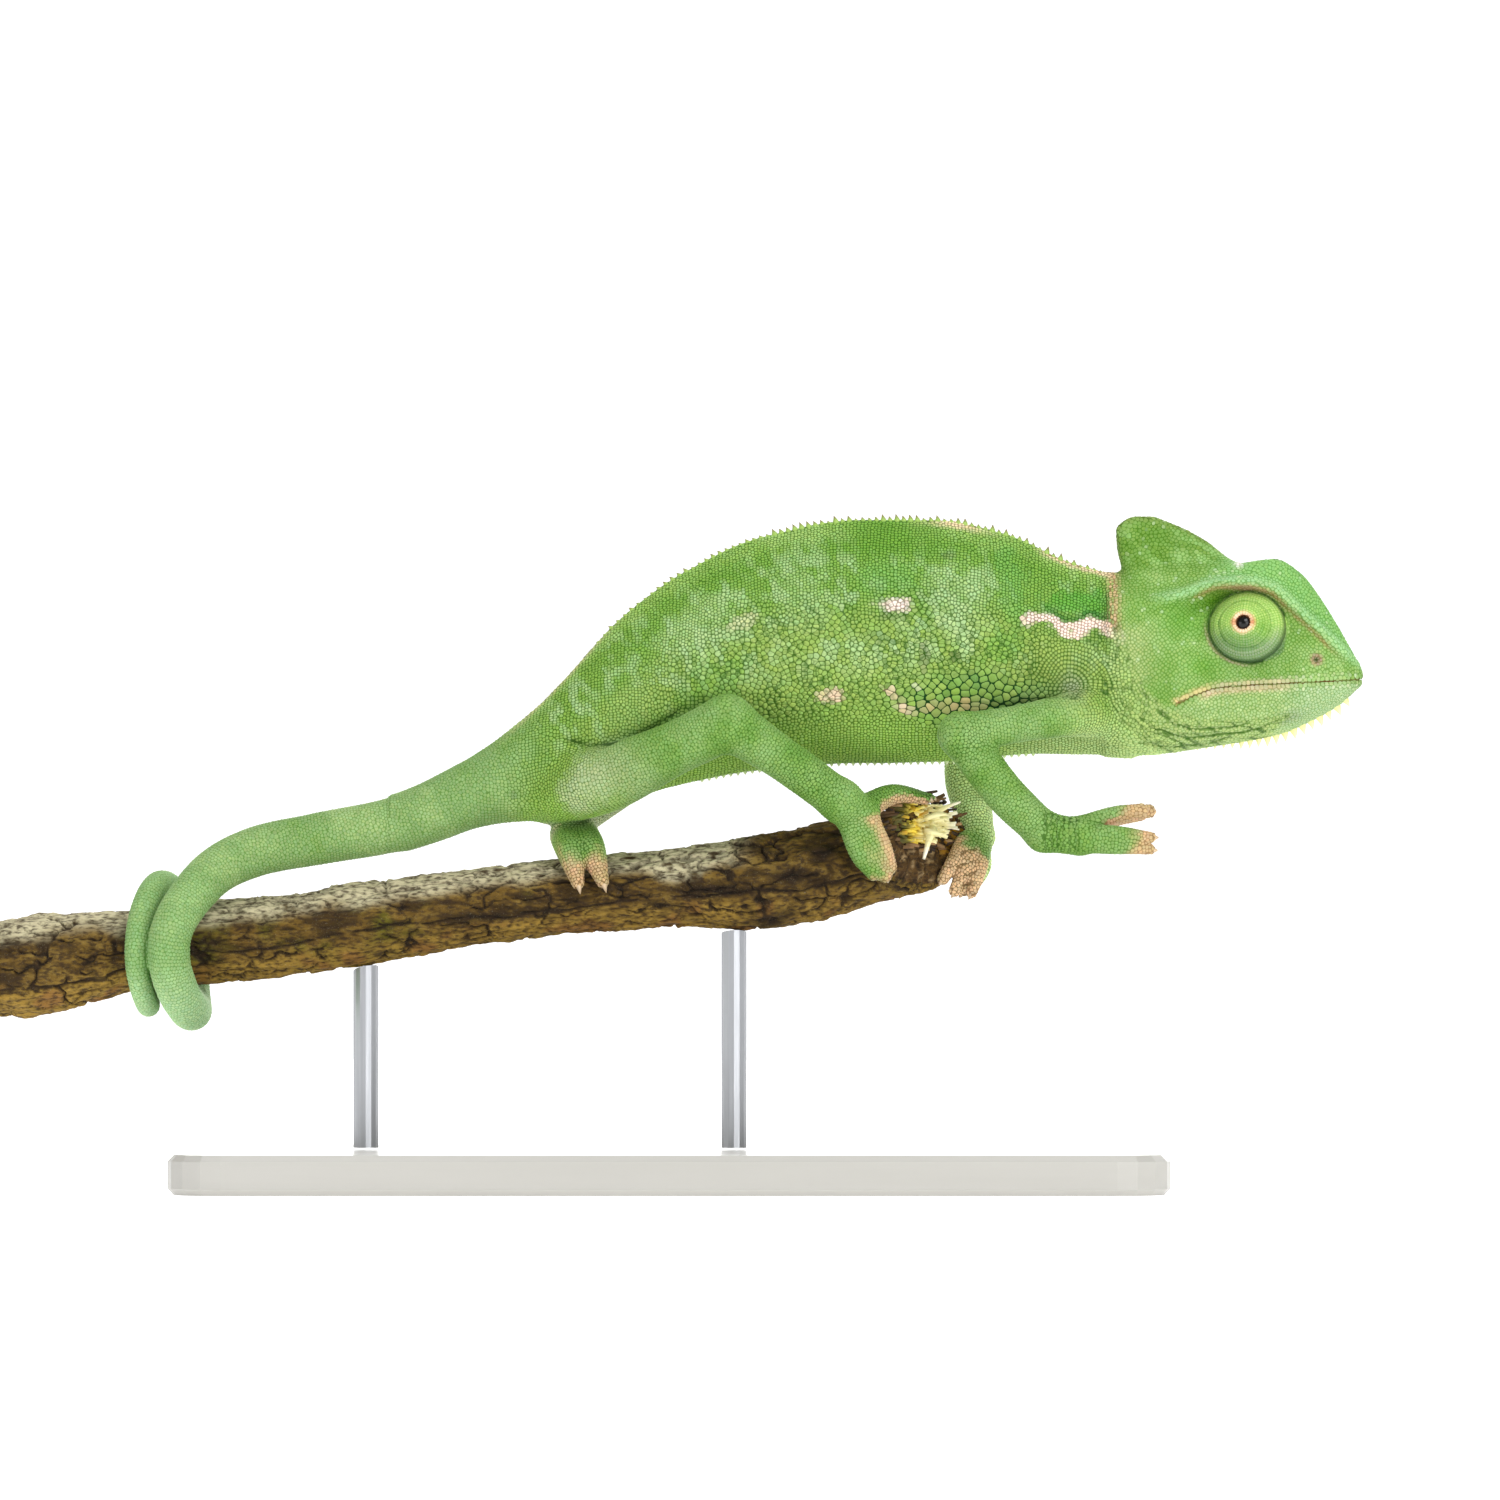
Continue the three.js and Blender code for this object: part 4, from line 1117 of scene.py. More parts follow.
@dataclass
class Markings:
    """The animal's colours, worked out at any point of its skin or scales."""

    plan: Plan
    streak: tuple[tuple[float, float], ...] = (
        (44.2, 71.3), (46.2, 71.6), (47.8, 71.1), (49, 70.3), (50.6, 70), (52.5, 70.7), (54, 70.1),
        (56.4, 68.9),
    )  # fmt: skip
    patches: tuple[Patch, ...] = (
        Patch(28.1, 73.1, 2.3, 0.85, "e8dfc8", 0.95),
        Patch(8.8, 70.9, 2.1, 0.8, "cbd39b", 0.7, 22),
        Patch(20.2, 61.9, 1.4, 0.9, "decba4", 0.9),
        Patch(27.7, 62.2, 1.3, 0.6, "d6c49a", 0.9, -30),
        Patch(29.1, 60.3, 1.3, 0.75, "d6c49a", 0.9, -35),
        Patch(30.8, 62.9, 0.7, 0.5, "c6cf9c", 0.85),
        Patch(36, 60.5, 4.6, 0.7, "c9b680", 0.85, 3),
        Patch(45, 61.2, 1.3, 0.6, "d8bf90", 0.85),
        Patch(34.6, 79.3, 0.9, 0.4, "55703c", 0.5),
        Patch(27.6, 71.7, 1.8, 0.5, "6f8a52", 0.5),
        Patch(26, 69, 2.2, 0.9, "5d7f42", 0.4, -20),
        Patch(31.7, 66.4, 0.5, 1.8, "6d7455", 0.55),
        Patch(35.4, 66.6, 0.7, 0.6, "4d6236", 0.6),
        Patch(37.6, 64.2, 0.8, 0.6, "35582f", 0.5),
        Patch(42.8, 75.5, 1.6, 5, "63a647", 0.45, 10),
        Patch(27, 76.5, 4, 2, "6cab4b", 0.45),
        Patch(51.5, 73.4, 4.4, 1.5, "4f9f2c", 0.75),
        Patch(41.8, 67.8, 3.4, 1.6, "63a335", 0.5, 30),
        Patch(35.6, 73.6, 3.6, 4.2, "a3c682", 0.4, 25),
        Patch(17, 73.6, 3, 3.4, "a0c47c", 0.35),
        Patch(23.5, 67, 2, 2.4, "a0c274", 0.4),
        Patch(3.5, 69.5, 5, 3.4, "a6c882", 0.5, 40),
        Patch(-5, 61, 4.2, 2.4, "9cc077", 0.15, 40),
        Patch(-9.5, 51.2, 4.2, 3, "bccaa0", 0.5, 30),
        Patch(5, 62, 5, 4.6, "69a232", 0.5, 30),
        Patch(-21.4, 54.5, 0.35, 0.3, "3c4a3a", 0.8),
        Patch(-19.5, 49.3, 0.35, 0.45, "3f5a36", 0.7),
        Patch(-55.9, 40.9, 1.2, 0.35, "4d7346", 0.7, 55),
    )

    wrinkled: tuple[Colour, ...] = ((17, 51, 4), (36.5, 56.5, 2.4))  # x, z and size
    # how much the head's colours are raised, for each of red, green and blue
    head_light: Colour = (1.04, 0.91, 1.18)
    trunk_light: Colour = (1.06, 0.96, 1.12)
    limb_light: Colour = (0.77, 0.76, 0.76)

    def trunk_wash(self, points: Points, mottle: Points, broad: Points, fine: Points) -> Wash:
        """The colours of the trunk and neck, from the waves of noise at each point."""
        x, _, z = points.T
        height = self.plan.height(points)
        wash = Wash("86aa4a", len(points))
        wash.lay("6ca038", smooth(0.5, 0.75, height + 0.1 * mottle) * 0.85)
        wash.lay("74a03a", smooth(-2, -14, x) * 0.7)
        dashes = noise(points * [1, 0.3, 0.68] + vectors(0.3 * z), 1.05, 27, 2)
        clouds = 0.7 * broad + 0.5 * mottle + 0.4 * smooth(-6, 10, x) * smooth(46, 36, x)
        pale = smooth(-0.1, 0.75, 0.6 * clouds + 1.1 * dashes) * smooth(0.3, 0.5, height)
        wash.lay("acce90", 0.58 * pale)
        wash.lay("5c9626", 0.42 * smooth(-0.1, 0.7, 0.7 * dashes - clouds))
        wash.lay("86b646", smooth(0.3, 0.1, height + 0.1 * mottle) * smooth(52, 36, x))
        wash.lay("a9cc78", smooth(0.3, 0.05, height) * smooth(38, 48, x) * 0.95)
        columns = 0.5 + 0.5 * np.sin(x * 2 * math.pi / 0.9 + 3 * mottle)
        wash.lay("a3c46c", smooth(0.28, 0.12, height) * columns * 0.2)
        saddle = bump(x - 27, 8) + 0.5 * bump(x - 43.4, 6) + 0.5 * bump(x - 6, 8)
        wash.lay("62992a", smooth(0.8, 0.9, height + 0.04 * mottle) * np.clip(0.1 + saddle, 0, 1))
        wash.lay("8fb956", smooth(0.88, 0.97, height + 0.03 * dashes) * np.clip(1 - saddle, 0, 0.7))
        edge = bump(x - 36, 3.6) + smooth(45, 48, x) + 0.5 * smooth(-4, -12, x)
        wash.lay("dccf9d", smooth(0.955, 0.985, height + 0.01 * fine) * np.clip(edge, 0, 1) * 0.85)
        wobble = 0.6 * mottle + 0.6 * fine
        for patch in self.patches:
            wash.lay(patch.colour, patch.cover(points, wobble))
        line = np.array([(px, 0, pz) for px, pz in self.streak])
        ragged = points * [1, 0, 1] + 0.5 * vectors(mottle, 0, 1.6 * fine)
        from_streak, along = path_distance(ragged, line)
        width = 0.45 + 0.3 * along + 0.25 * fine
        near = (x > 42) & (x < 57.5)
        above = smooth(0, 0.9, z - np.interp(x, line[:, 0], line[:, 2]))
        wash.lay(
            "1f6a1c", near * bump(from_streak - width - 0.55, 0.5) * (0.25 + 0.6 * above) * smooth(45, 49, x)
        )
        wash.lay("8aa64a", spot(points, 48, 65, 5, 5) * 0.6)
        wash.lay("5c923a", self.plan.large(points) * 0.6 * smooth(0.4, -0.4, fine))
        return wash.lay("e9dcc0", near * smooth(0.4, -0.2, from_streak - width))

    def tail_wash(self, points: Points, mottle: Points, fine: Points, along: Points) -> Wash:
        """The colours of the tail: pale and dark blotches that cross it."""
        wash = Wash("8cb06a", len(points))
        stretched = vectors(along * 160) + 0.35 * points
        bands = noise(stretched, 3.2, 131, 2) + 0.35 * fine
        wash.lay("b0cb86", smooth(-0.05, 0.6, bands) * 0.6)
        wash.lay("74a140", smooth(0.1, 0.7, -bands) * 0.5)
        wash.lay("98c27c", smooth(0.26, 0.5, along) * 0.7 + 0.2 * mottle)
        return wash.lay("bfe4ae", smooth(29, 22, points[:, 2]) * 0.7)

    def head_wash(self, points: Points, mottle: Points, broad: Points, fine: Points) -> Wash:
        """The colours of the head and jaw, without the turrets."""
        x, y, z = points.T
        head = self.plan.head
        cells = hashed(np.round(points * 2.3), 17)
        wash = Wash("79a847", len(points))
        wash.lay("9cc36e", smooth(-0.2, 0.6, mottle + 0.4 * fine) * 0.6)
        wash.lay("a9bd74", smooth(62.5, 57, x) * smooth(62, 64, z) * smooth(72, 69, z) * 0.65)
        wash.lay("66a42e", spot(points, 66.4, 65.6, 2.6, 1.5) * 0.7)
        wash.lay("62a030", spot(points, 64, 71.2, 3, 2.6) * 0.9)
        streaks = noise(points * [0.55, 1, 1] + vectors(0, 0, 0.55 * x), 1.3, 141, 2)
        peak = smooth(76.2, 79, z + 0.3 * mottle) * smooth(74, 71, x)
        wash.lay("5f8f26", peak * smooth(-0.4, 0.3, streaks) * 0.85)
        wash.lay("94c46c", peak * smooth(0.1, 0.6, -streaks) * 0.5)
        over = z - head.rim_z(x)
        steep = np.cos(np.arctan(np.gradient(head.rim_z(np.linspace(54, 86, 129)), 0.25)))
        level = over * np.interp(x, np.linspace(54, 86, 129), steep)
        wash.lay("7dba5c", smooth(0.0, 0.9, level) * smooth(80, 78.4, z) * smooth(66, 71, x) * 0.9)
        wash.lay("99cd80", bump(level - 0.55, 0.7) * smooth(58.5, 63, x) * 0.75)
        # a darker green in the hollow behind the eye: painted shade in the recess
        pocket_shade = bump(np.hypot((x - 67.6) / 3.1, (z - 73.6 - 0.3 * (x - 67.6)) / 1.25), 1)
        wash.lay("4b7d10", pocket_shade)
        over_eye = smooth(64, 67, x) * smooth(84.6, 81, x)
        # a brownish line just under the brow's edge: a painted shadow under the overhanging ridge
        wash.lay("94854a", bump(level + 0.45, 0.34) * over_eye * (0.75 + 0.3 * fine))
        wash.lay("c0ac7c", bump(np.hypot((x - 71.6) / 2.4, (level + 0.35) / 0.4), 1) * 0.6)
        wash.lay("587c1c", bump(level + 1.15, 0.4) * smooth(66, 68, x) * smooth(77, 74, x) * 0.75)
        lips = z - head.mouth(x)
        wash.lay("a3c274", smooth(0.2, -1.2, lips) * smooth(58, 62, x) * 0.9)
        wash.lay("92b678", smooth(0, -1, lips) * smooth(74, 80, x) * 0.7)
        corner = smooth(62, 63.2, x) * smooth(69.5, 66.5, x)
        wash.lay("d2c67e", corner * bump(lips - 0.4, 0.42) * 0.8)
        wash.lay("d3bf92", smooth(65.5, 67, x) * smooth(79, 75, x) * bump(lips + 0.5, 0.4) * 0.8)
        wash.lay("cfc393", smooth(67, 69, x) * smooth(80, 76, x) * bump(lips - 0.4, 0.3) * 0.75)
        dots = 0.5 + 0.5 * np.sin(x * 2 * math.pi / 0.95)
        wash.lay("d5dcae", smooth(74, 77, x) * bump(np.abs(lips) - 0.7, 0.35) * smooth(0.4, 0.9, dots) * 0.3)
        wash.lay("6c7f5c", bump(np.hypot((x - 77) / 2.4, z - 59 - 0.25 * (x - 77)), 0.8) * 0.6)
        wash.lay("7b4426", (x > 63) * bump(lips, 0.13) * 0.95)
        nostril = np.hypot(x - 80.7, z - 66.3) + 9 * (np.abs(y) < 1.2)
        wash.lay("9d8a62", bump(nostril - 0.5, 0.32) * 0.9)
        # near-black in each nostril's opening: painted shade in the hole
        wash.lay("4d5433", bump(nostril, 0.3))
        outline = np.minimum(np.abs(y) / 1.4, 1)
        wash.lay(
            "7c8b3c", smooth(0.9, 0.3, outline) * smooth(77.8, 79, z) * smooth(72, 70, x) * (0.4 + 0.5 * fine)
        )
        wash.lay("bcd89c", (cells > 0.96) * smooth(-0.4, 0.2, fine) * 0.4)
        # a painted highlight: a pale glint at the notch between the casque and the brow, set by x and z only,
        # so from above it is a pale stripe across the crown
        wash.lay("e8ecd0", spot(points, 71, 78.2, 0.5, 0.5) * 0.9)
        return wash.lay("5b8f2c", smooth(0.1, 0.5, -broad + 0.5 * fine) * 0.3 * smooth(84, 76, x))

    def turret_wash(self, points: Points, eye: Eye, mottle: Points) -> Wash:
        """The colours of one eye's lids: rings and rays of green, painted shade over the lower half, and a
        cream edge round the opening.
        """
        _, from_axis = eye.local(points)
        x, _, z = points.T
        # the lower half of the turret, which is painted darker and greyer as painted shade; some rings below
        # keep to it too
        down = smooth(1.2, -2.4, z - eye.foot[2] + 0.5 * mottle)
        around = np.arctan2(z - eye.foot[2] - 0.9, x - eye.foot[0] + 0.9)
        wash = Wash("a5cf62", len(points)).lay("6f9356", down)
        rays = 0.5 + 0.5 * np.sin(around * 34 + 3 * mottle)
        wash.lay("66a036", rays * smooth(1.5, 2.2, from_axis) * smooth(4, 3.2, from_axis) * 0.35)
        wash.lay("5f9a2a", spot(points, eye.foot[0] + 1.6, eye.foot[2] + 0.2, 0.9, 1.17) * 0.6)
        low_left = smooth(1.0, -2.4, (z - eye.foot[2]) + 0.6 * (x - eye.foot[0]))
        wash.lay("4d7a3c", bump(from_axis - 3.35, 0.13) * (0.2 + 0.6 * low_left))
        wash.lay("6d9a5c", bump(from_axis - 2.5, 0.1) * 0.35 * down)
        wash.lay("a8b98c", bump(from_axis - 4.1, 0.3) * down * 0.5)
        wash.lay("e9d59a", smooth(1.75, 1.25, from_axis + 0.14 * rays))
        corners = bump(np.abs(np.sin(around)), 0.35)
        wash.lay("b47a3c", corners * bump(from_axis - 1.25, 0.35) * 0.8)
        return wash.lay("7c4420", smooth(1.08, 0.94, from_axis))

    def colours(self, points: Points, normals: Points) -> Points:
        """The skin's colour at each point.

        Args:
            points: Places on the skin.
            normals: The way out of the skin at each.

        Returns:
            Linear red, green and blue for each point.
        """
        x, y, z = points.T
        mirrored = points * [1, 0.4, 1]
        broad, mottle, fine = (noise(mirrored, size, seed) for size, seed in ((9, 3), (3.2, 11), (1, 23)))
        wash = self.trunk_wash(points, mottle, broad, fine)
        on_tail, along_tail = path_distance(points, self.plan.tail.line(70))
        tail = smooth(6.5, 4.6, on_tail) * smooth(-12, -24, x)
        wash.lay(self.tail_wash(points, mottle, fine, along_tail).rgb, tail)
        net = self.plan.throat(points)[0]
        wash.lay(self.head_wash(points, mottle, broad, fine).rgb, self.plan.head_share(points) * (1 - net))
        wash.lay("97b662", net * smooth(54, 56, x) * 0.85)
        lines = 0.5 + 0.5 * np.sin(x * 15 + 2 * mottle)
        nape = bump(x - 55.4, 0.8) * smooth(68.5, 71, z) * smooth(78.4, 76.4, z)
        wash.lay("c9a878", nape * (0.2 + 0.75 * lines))
        for eye in self.plan.eyes:
            along, from_axis = eye.local(points)
            near = smooth(5.15, 4.95, from_axis) * (along > -1.2) * eye.own(points)
            outer = bump(from_axis - 5.15, 0.2) * smooth(0, -3, z - 68 + 0.9 * (x - 71)) * eye.own(points)
            wash.lay("b9a583", outer * 0.6)
            lids = near * smooth(0.9, 0.4, along - eye.skirt(from_axis))
            wash.lay(self.turret_wash(points, eye, mottle).rgb, lids)
        legs, bare = self.plan.legs(points, normals)
        limb = Wash("7aa84a", len(points)).lay("9dc07a", smooth(-0.4, 0.6, mottle + 0.4 * broad) * 0.6)
        limb.lay("6a9a3c", smooth(0.1, 0.5, -mottle) * 0.5)
        limb.lay("b5bd98", spot(points, 53.6, 60.6, 2.6, 2.6) * 0.65)
        wash.lay("8f9a80", spot(points, 50.1, 62.8, 1.7, 1.7) * 0.6)
        limb.lay("b0bb8c", spot(points, -9, 52, 6, 4) * 0.6)
        # the far fore arm's forward-facing side is painted pale: partly its paler inner skin, partly painted
        # light for its glow, as it sits in shade
        inner = smooth(2, 5, y) * smooth(0.5, -0.2, normals[:, 1])
        limb.lay("e6ffb0", inner * smooth(30, 33, x) * smooth(58, 55, z) * 0.9)
        limb.lay("d6e2b2", smooth(-4, 2, y) * smooth(2, -2, x) * smooth(50, 46, z) * 0.95)
        limb.lay("e4bb90", bare * (0.85 + 0.3 * fine))
        # the far hand's bare palm is painted lighter: painted light, as it sits in shade
        limb.lay("ffd9a8", bare * smooth(-4, -1, y) * smooth(33, 34.5, x) * 0.8)
        # creases are darkened: painted shade in the folds
        wash.lay(limb.rgb, legs).lay("2c5716", self.plan.folds(points)[1])
        head = (self.plan.head_share(points) * (1 - legs))[:, None]
        trunk = (1 - head) * (1 - legs)[:, None] * (1 - tail)[:, None]
        rest = 1 - head - trunk
        return wash.rgb * (head * self.head_light + trunk * self.trunk_light + rest * self.limb_light)

    def lined(self, points: Points, tones: Points) -> Points:
        """Colours with the dark lines between groups of scales laid over them, and painted shade in the
        groove round each turret.

        Args:
            points: Places on the skin or on its scales.
            tones: Their colours.

        Returns:
            Linear red, green and blue for each point.
        """
        x, _, z = points.T
        plan = self.plan
        across, down, where = (noise(points * [1, 0.3, 1], 2.6, seed, 3) for seed in (151, 152, 153))
        wash = Wash(tones)
        edge, _ = cells(np.stack([x / 1.5 + 0.9 * across, z / 0.68 + 0.8 * down - 0.12 * x], 1), 155)
        wash.lay("265208", smooth(0.3, 0.05, edge) * plan.middle(points) * smooth(-0.7, 0.3, where) * 0.75)
        share, along, out = plan.throat(points)
        edge, _ = cells(np.stack([along / 4.2 + 0.3 * across, out / 0.62 + 0.15 * down], 1), 157)
        wash.lay("28510f", smooth(0.18, 0.03, edge) * share * (0.75 + 0.5 * where))
        x, z = x - plan.shoulder[0], z - plan.shoulder[1]
        away = np.hypot(x, z)
        arcs = smooth(0.2, 0.9, -np.cos((away - plan.sway(points)) * 2 * math.pi / plan.arc_step))
        ring = smooth(7.2, 3.2, away) * smooth(0.4, 1.8, away) * smooth(-0.8, 0.4, z) * smooth(3.4, 1.2, x)
        wash.lay("2b5510", arcs * ring * (0.6 + 0.8 * where))
        for eye in plan.eyes:
            height, from_axis = eye.local(points)
            here = (height > 0) & eye.own(points)
            low_left = smooth(1.0, -2.4, points[:, 2] - eye.foot[2] + 0.6 * (points[:, 0] - eye.foot[0]))
            # a near-black ring round each turret: painted shade in the groove between the turret and its
            # socket
            wash.lay("122c08", here * bump(from_axis - 4.8, 0.2) * 0.95)
            wash.lay("2c5a1c", here * bump(from_axis - 4.1, 0.08) * low_left * 0.7)
        return wash.rgb

    def between(self, points: Points, tones: Points) -> Points:
        """The colour of the skin that shows between scales, darker than the scales about it."""
        plan = self.plan
        shade = 0.58 - 0.16 * plan.flank(points) - 0.06 * plan.middle(points)
        shade += 0.14 * np.maximum(plan.head_share(points), smooth(-16, -26, points[:, 0]))
        for x, z, size in self.wrinkled:
            shade = shade - 0.16 * spot(points, x, z, size, size) * (np.abs(points[:, 1]) > 6)
        for eye in plan.eyes:
            shade = np.maximum(shade, 0.85 * smooth(5.2, 4.6, eye.local(points)[1]) * eye.own(points))
        # bare skin stays brown between its scales
        brown = smooth(0.9, 1.2, tones[:, 0] / tones[:, 1])[:, None]
        wash = Wash(
            tones * shade[:, None] * (np.array([0.8, 1.0, 0.7]) * (1 - brown) + [1.1, 0.95, 0.85] * brown)
        )
        return self.lined(points, wash.lay("123c1a", plan.large(points) * 0.95).rgb)


# ---------------------------------------------------------------- relief


@dataclass
class Relief:
    """The skin's finer forms, each pushing it in or out along its own direction."""

    plan: Plan

    def depth(self, points: Points, normals: Points) -> Points:
        """How far each point of the skin moves, in millimetres, with outwards above 0."""
        x = points[:, 0]
        out = 0.06 * noise(points, 4.5, 41, 2)
        sideways = smooth(0.2, 0.55, np.abs(normals[:, 1]))
        out -= self.plan.folds(points)[0] * sideways
        height = self.plan.height(points)
        ribs = np.sin((x + 0.35 * (points[:, 2] - 60)) * 2 * math.pi / 4.6)
        ribbed = smooth(-2, 8, x) * smooth(46, 38, x) * smooth(0.12, 0.3, height) * smooth(0.85, 0.6, height)
        out += 0.08 * ribs * ribbed * self.plan.flank(points)
        out += self.mouth(points, normals) + self.ridge(points) + self.nostrils(points)
        for eye in self.plan.eyes:
            out += self.lids(points, eye)
        return out

    def mouth(self, points: Points, normals: Points) -> Points:
        """The line between the lips, with a soft roll above and below it."""
        x, _, z = points.T
        level = z - self.plan.head.mouth(x)
        facing = smooth(0.1, 0.5, np.hypot(normals[:, 0], normals[:, 1])) * smooth(62.8, 63.8, x)
        lips = 0.12 * bump(level - 0.55, 0.4) + 0.12 * bump(level + 0.55, 0.4)
        return facing * (lips - 0.34 * bump(level, 0.15))

    def ridge(self, points: Points) -> Points:
        """The edge over each eye, undercut below, and the hollow behind the eye."""
        x, y, z = points.T
        path = np.array([(px, 0, pz - 0.1) for px, _, pz, _ in self.plan.head.brow])
        distance, _ = path_distance(points * [1, 0, 1], path)
        above = z > np.interp(x, path[:, 0], path[:, 2])
        level = np.where(above, distance, -distance)
        sides = smooth(1.6, 2.8, np.abs(y)) * smooth(59.5, 63, x) * smooth(86, 84, x)
        shape = 0.24 * bump(level - 0.25, 0.5) - 0.1 * bump(level + 0.75, 0.4)
        hollow = -0.2 * bump(np.hypot((x - 67) / 3, (z - 73 - 0.3 * (x - 67)) / 1.1), 1)
        return sides * (shape + hollow)

    def nostrils(self, points: Points) -> Points:
        """A small round opening on a low swelling, each side of the snout."""
        away = np.hypot(points[:, 0] - 80.7, points[:, 2] - 66.3) + 9 * (np.abs(points[:, 1]) < 1.2)
        return 0.25 * bump(away, 1.0) - 0.7 * bump(away, 0.36)

    def lids(self, points: Points, eye: Eye) -> Points:
        """Shallow rings in the turret."""
        along, from_axis = eye.local(points)
        near = (along > 0) & eye.own(points) & (from_axis < 7)
        rings = 0.03 * np.cos((from_axis - 1.4) * 2 * math.pi / 0.8) * smooth(1.6, 2, from_axis)
        return near * (rings * smooth(4.6, 4.2, from_axis) - 0.14 * bump(from_axis - 3.35, 0.16))


# ---------------------------------------------------------------- scales


class Zone(Enum):
    """The parts of the coat, each of which is one piece."""

    TRUNK_RIGHT = "scales_trunk_right"
    TRUNK_LEFT = "scales_trunk_left"
    HEAD = "scales_head"
    TAIL = "scales_tail"
    FORE_LEGS = "scales_fore_legs"
    HIND_LEGS = "scales_hind_legs"


def tree_of(points: Points) -> KDTree:
    """A search tree of points."""
    tree = KDTree(len(points))
    for i, p in enumerate(points.tolist()):
        tree.insert(p, i)
    tree.balance()
    return tree


@dataclass
class Coat:
    """The scales: where each one is, how large it is, and the domed plates that they make."""

    skin: Shell
    normals: Points
    plan: Plan
    seeds: Points = field(init=False)  # the middle of each scale
    ups: Points = field(init=False)  # the way out of the skin at each
    near: Points = field(init=False)  # the eight nearest scales to each
    spacing: Points = field(init=False)  # how far apart the scales about each are
    shown: Points = field(init=False)  # which of them are made

    def pitch(self, points: Points) -> Points:
        """How close together scales may be at each point."""
        pitch = np.where(self.plan.flank(points) > 0.5, 0.37, 0.4)
        pitch = pitch + 0.12 * self.plan.middle(points) + 0.44 * self.plan.large(points)
        head = self.plan.head_share(points)
        pitch = pitch * (1 - head) + head * (0.36 + 0.05 * smooth(77, 80, points[:, 2]))
        for eye in self.plan.eyes:
            along, from_axis = eye.local(points)
            pitch = np.where((from_axis < 5.2) & (along > -0.5) & eye.own(points), 0.34, pitch)
        return pitch

    def turret_rows(self, eye: Eye) -> Points:
        """Places for scales in rings round the opening of the lids."""
        made = []
        first, second = eye.axes()
        for i, radius in enumerate(np.arange(1.2, 4.75, 0.34)):
            along = eye.skirt(np.array(radius))
            count = round(2 * math.pi * radius / 0.36)
            turn = 2 * math.pi * (np.arange(count) + 0.5 * (i % 2)) / count
            spoke = first * np.cos(turn)[:, None] + second * (eye.oval(radius) * np.sin(turn))[:, None]
            made.append(eye.foot + eye.gaze * along + spoke * radius)
        return np.concatenate(made)

    def lip_rows(self) -> Points:
        """Places for the even scales along both lips, on both sides."""
        head, x = self.plan.head, np.arange(64.4, 86, 0.55)
        return np.concatenate([
            vectors(x, side * head.lip_y(x), head.mouth(x) + lift)
            for side in (-1, 1) for lift in (0.36, -0.36)
        ])  # fmt: skip

    def shoulder_rows(self) -> Points:
        """Places for the scales that run in arcs over each shoulder."""
        made = []
        (x, z), step = self.plan.shoulder, self.plan.arc_step
        for radius in np.arange(step, 5.6, step):
            turn = np.arange(-0.1, math.pi + 0.3, 0.42 / radius)
            arc = vectors(x + radius * np.cos(turn), 6.2, z + radius * np.sin(turn))
            spoke = unit(arc - [x, 6.2, z])
            arc = arc + spoke * self.plan.sway(arc)[:, None]
            made += [arc, arc * [1, -1, 1]]
        rows = np.concatenate(made)
        return rows[self.plan.head_share(rows) < 0.3]

    def lay(self) -> None:
        """Finds a place on the skin for every scale, fills what is bare, and evens the spaces out."""
        tree = BVHTree.FromPolygons(self.skin.points.tolist(), self.skin.quads.tolist())
        body = self.plan.trunk.rows(0.38, 0.41)
        # a ragged end, where the tail's rings take over
        body = body[body[:, 0] > -26 + 6 * noise(body, 3, 119, 2)]
        flesh = [body, self.plan.tail.rows(0.42)]
        for leg in LEGS:
            flesh += [limb.rows(0.41) for limb in leg.limbs()]
            flesh += [toe.rows(0.42) for toes in leg.bundles for toe in toes.toes()]
        rows = np.concatenate(flesh)
        rows += 0.55 * drift(rows, 5, 111)
        rows += 0.17 * (np.stack([hashed(np.round(rows * 53), s) for s in (115, 116, 117)], 1) - 0.5)
        rows = rows[(self.plan.head_share(rows) < 0.5) & (self.pitch(rows) < 0.44)]
        rings = [*map(self.turret_rows, self.plan.eyes), self.lip_rows(), self.shoulder_rows()]
        rings = [self.land(tree, ring)[0] for ring in rings]
        landed, reach = self.land(tree, rows)
        kept = self.thin(np.concatenate([*rings, landed[reach < 0.9]]), 0.8)
        bare = self.skin.points[np.random.default_rng(7).permutation(len(self.skin.points))]
        found = tree_of(kept)
        gap = np.array([found.find(p)[2] for p in bare.tolist()])
        bare = bare[gap > 0.93 * self.pitch(bare)]
        coarse = self.pitch(bare) > BROAD
        broad = self.thin(bare[coarse] * STRETCH, 0.9, STRETCH) / STRETCH
        seeds = np.concatenate([kept, self.thin(bare[~coarse], 0.9), broad])
        seeds = self.thin(self.land(tree, self.spread(seeds))[0], 0.6)
        keep = np.abs(seeds[:, 2] - self.plan.head.mouth(seeds[:, 0])) > 0.15 * (seeds[:, 0] > 64)
        for eye in self.plan.eyes:
            along, from_axis = eye.local(seeds)
            keep &= ~((from_axis < 1.12) & (along > 0))
        self.seeds = seeds[keep]
        faces = [tree.find_nearest(p)[2] for p in self.seeds.tolist()]
        self.ups = unit(self.normals[self.skin.quads[faces]].mean(1))
        self.near, distance = self.neighbours(self.seeds, 8)
        self.spacing = distance[:, :5].mean(1)
        self.shown = self.plan.folds(self.seeds)[1] < 0.5
        log.info("%d scales", int(self.shown.sum()))

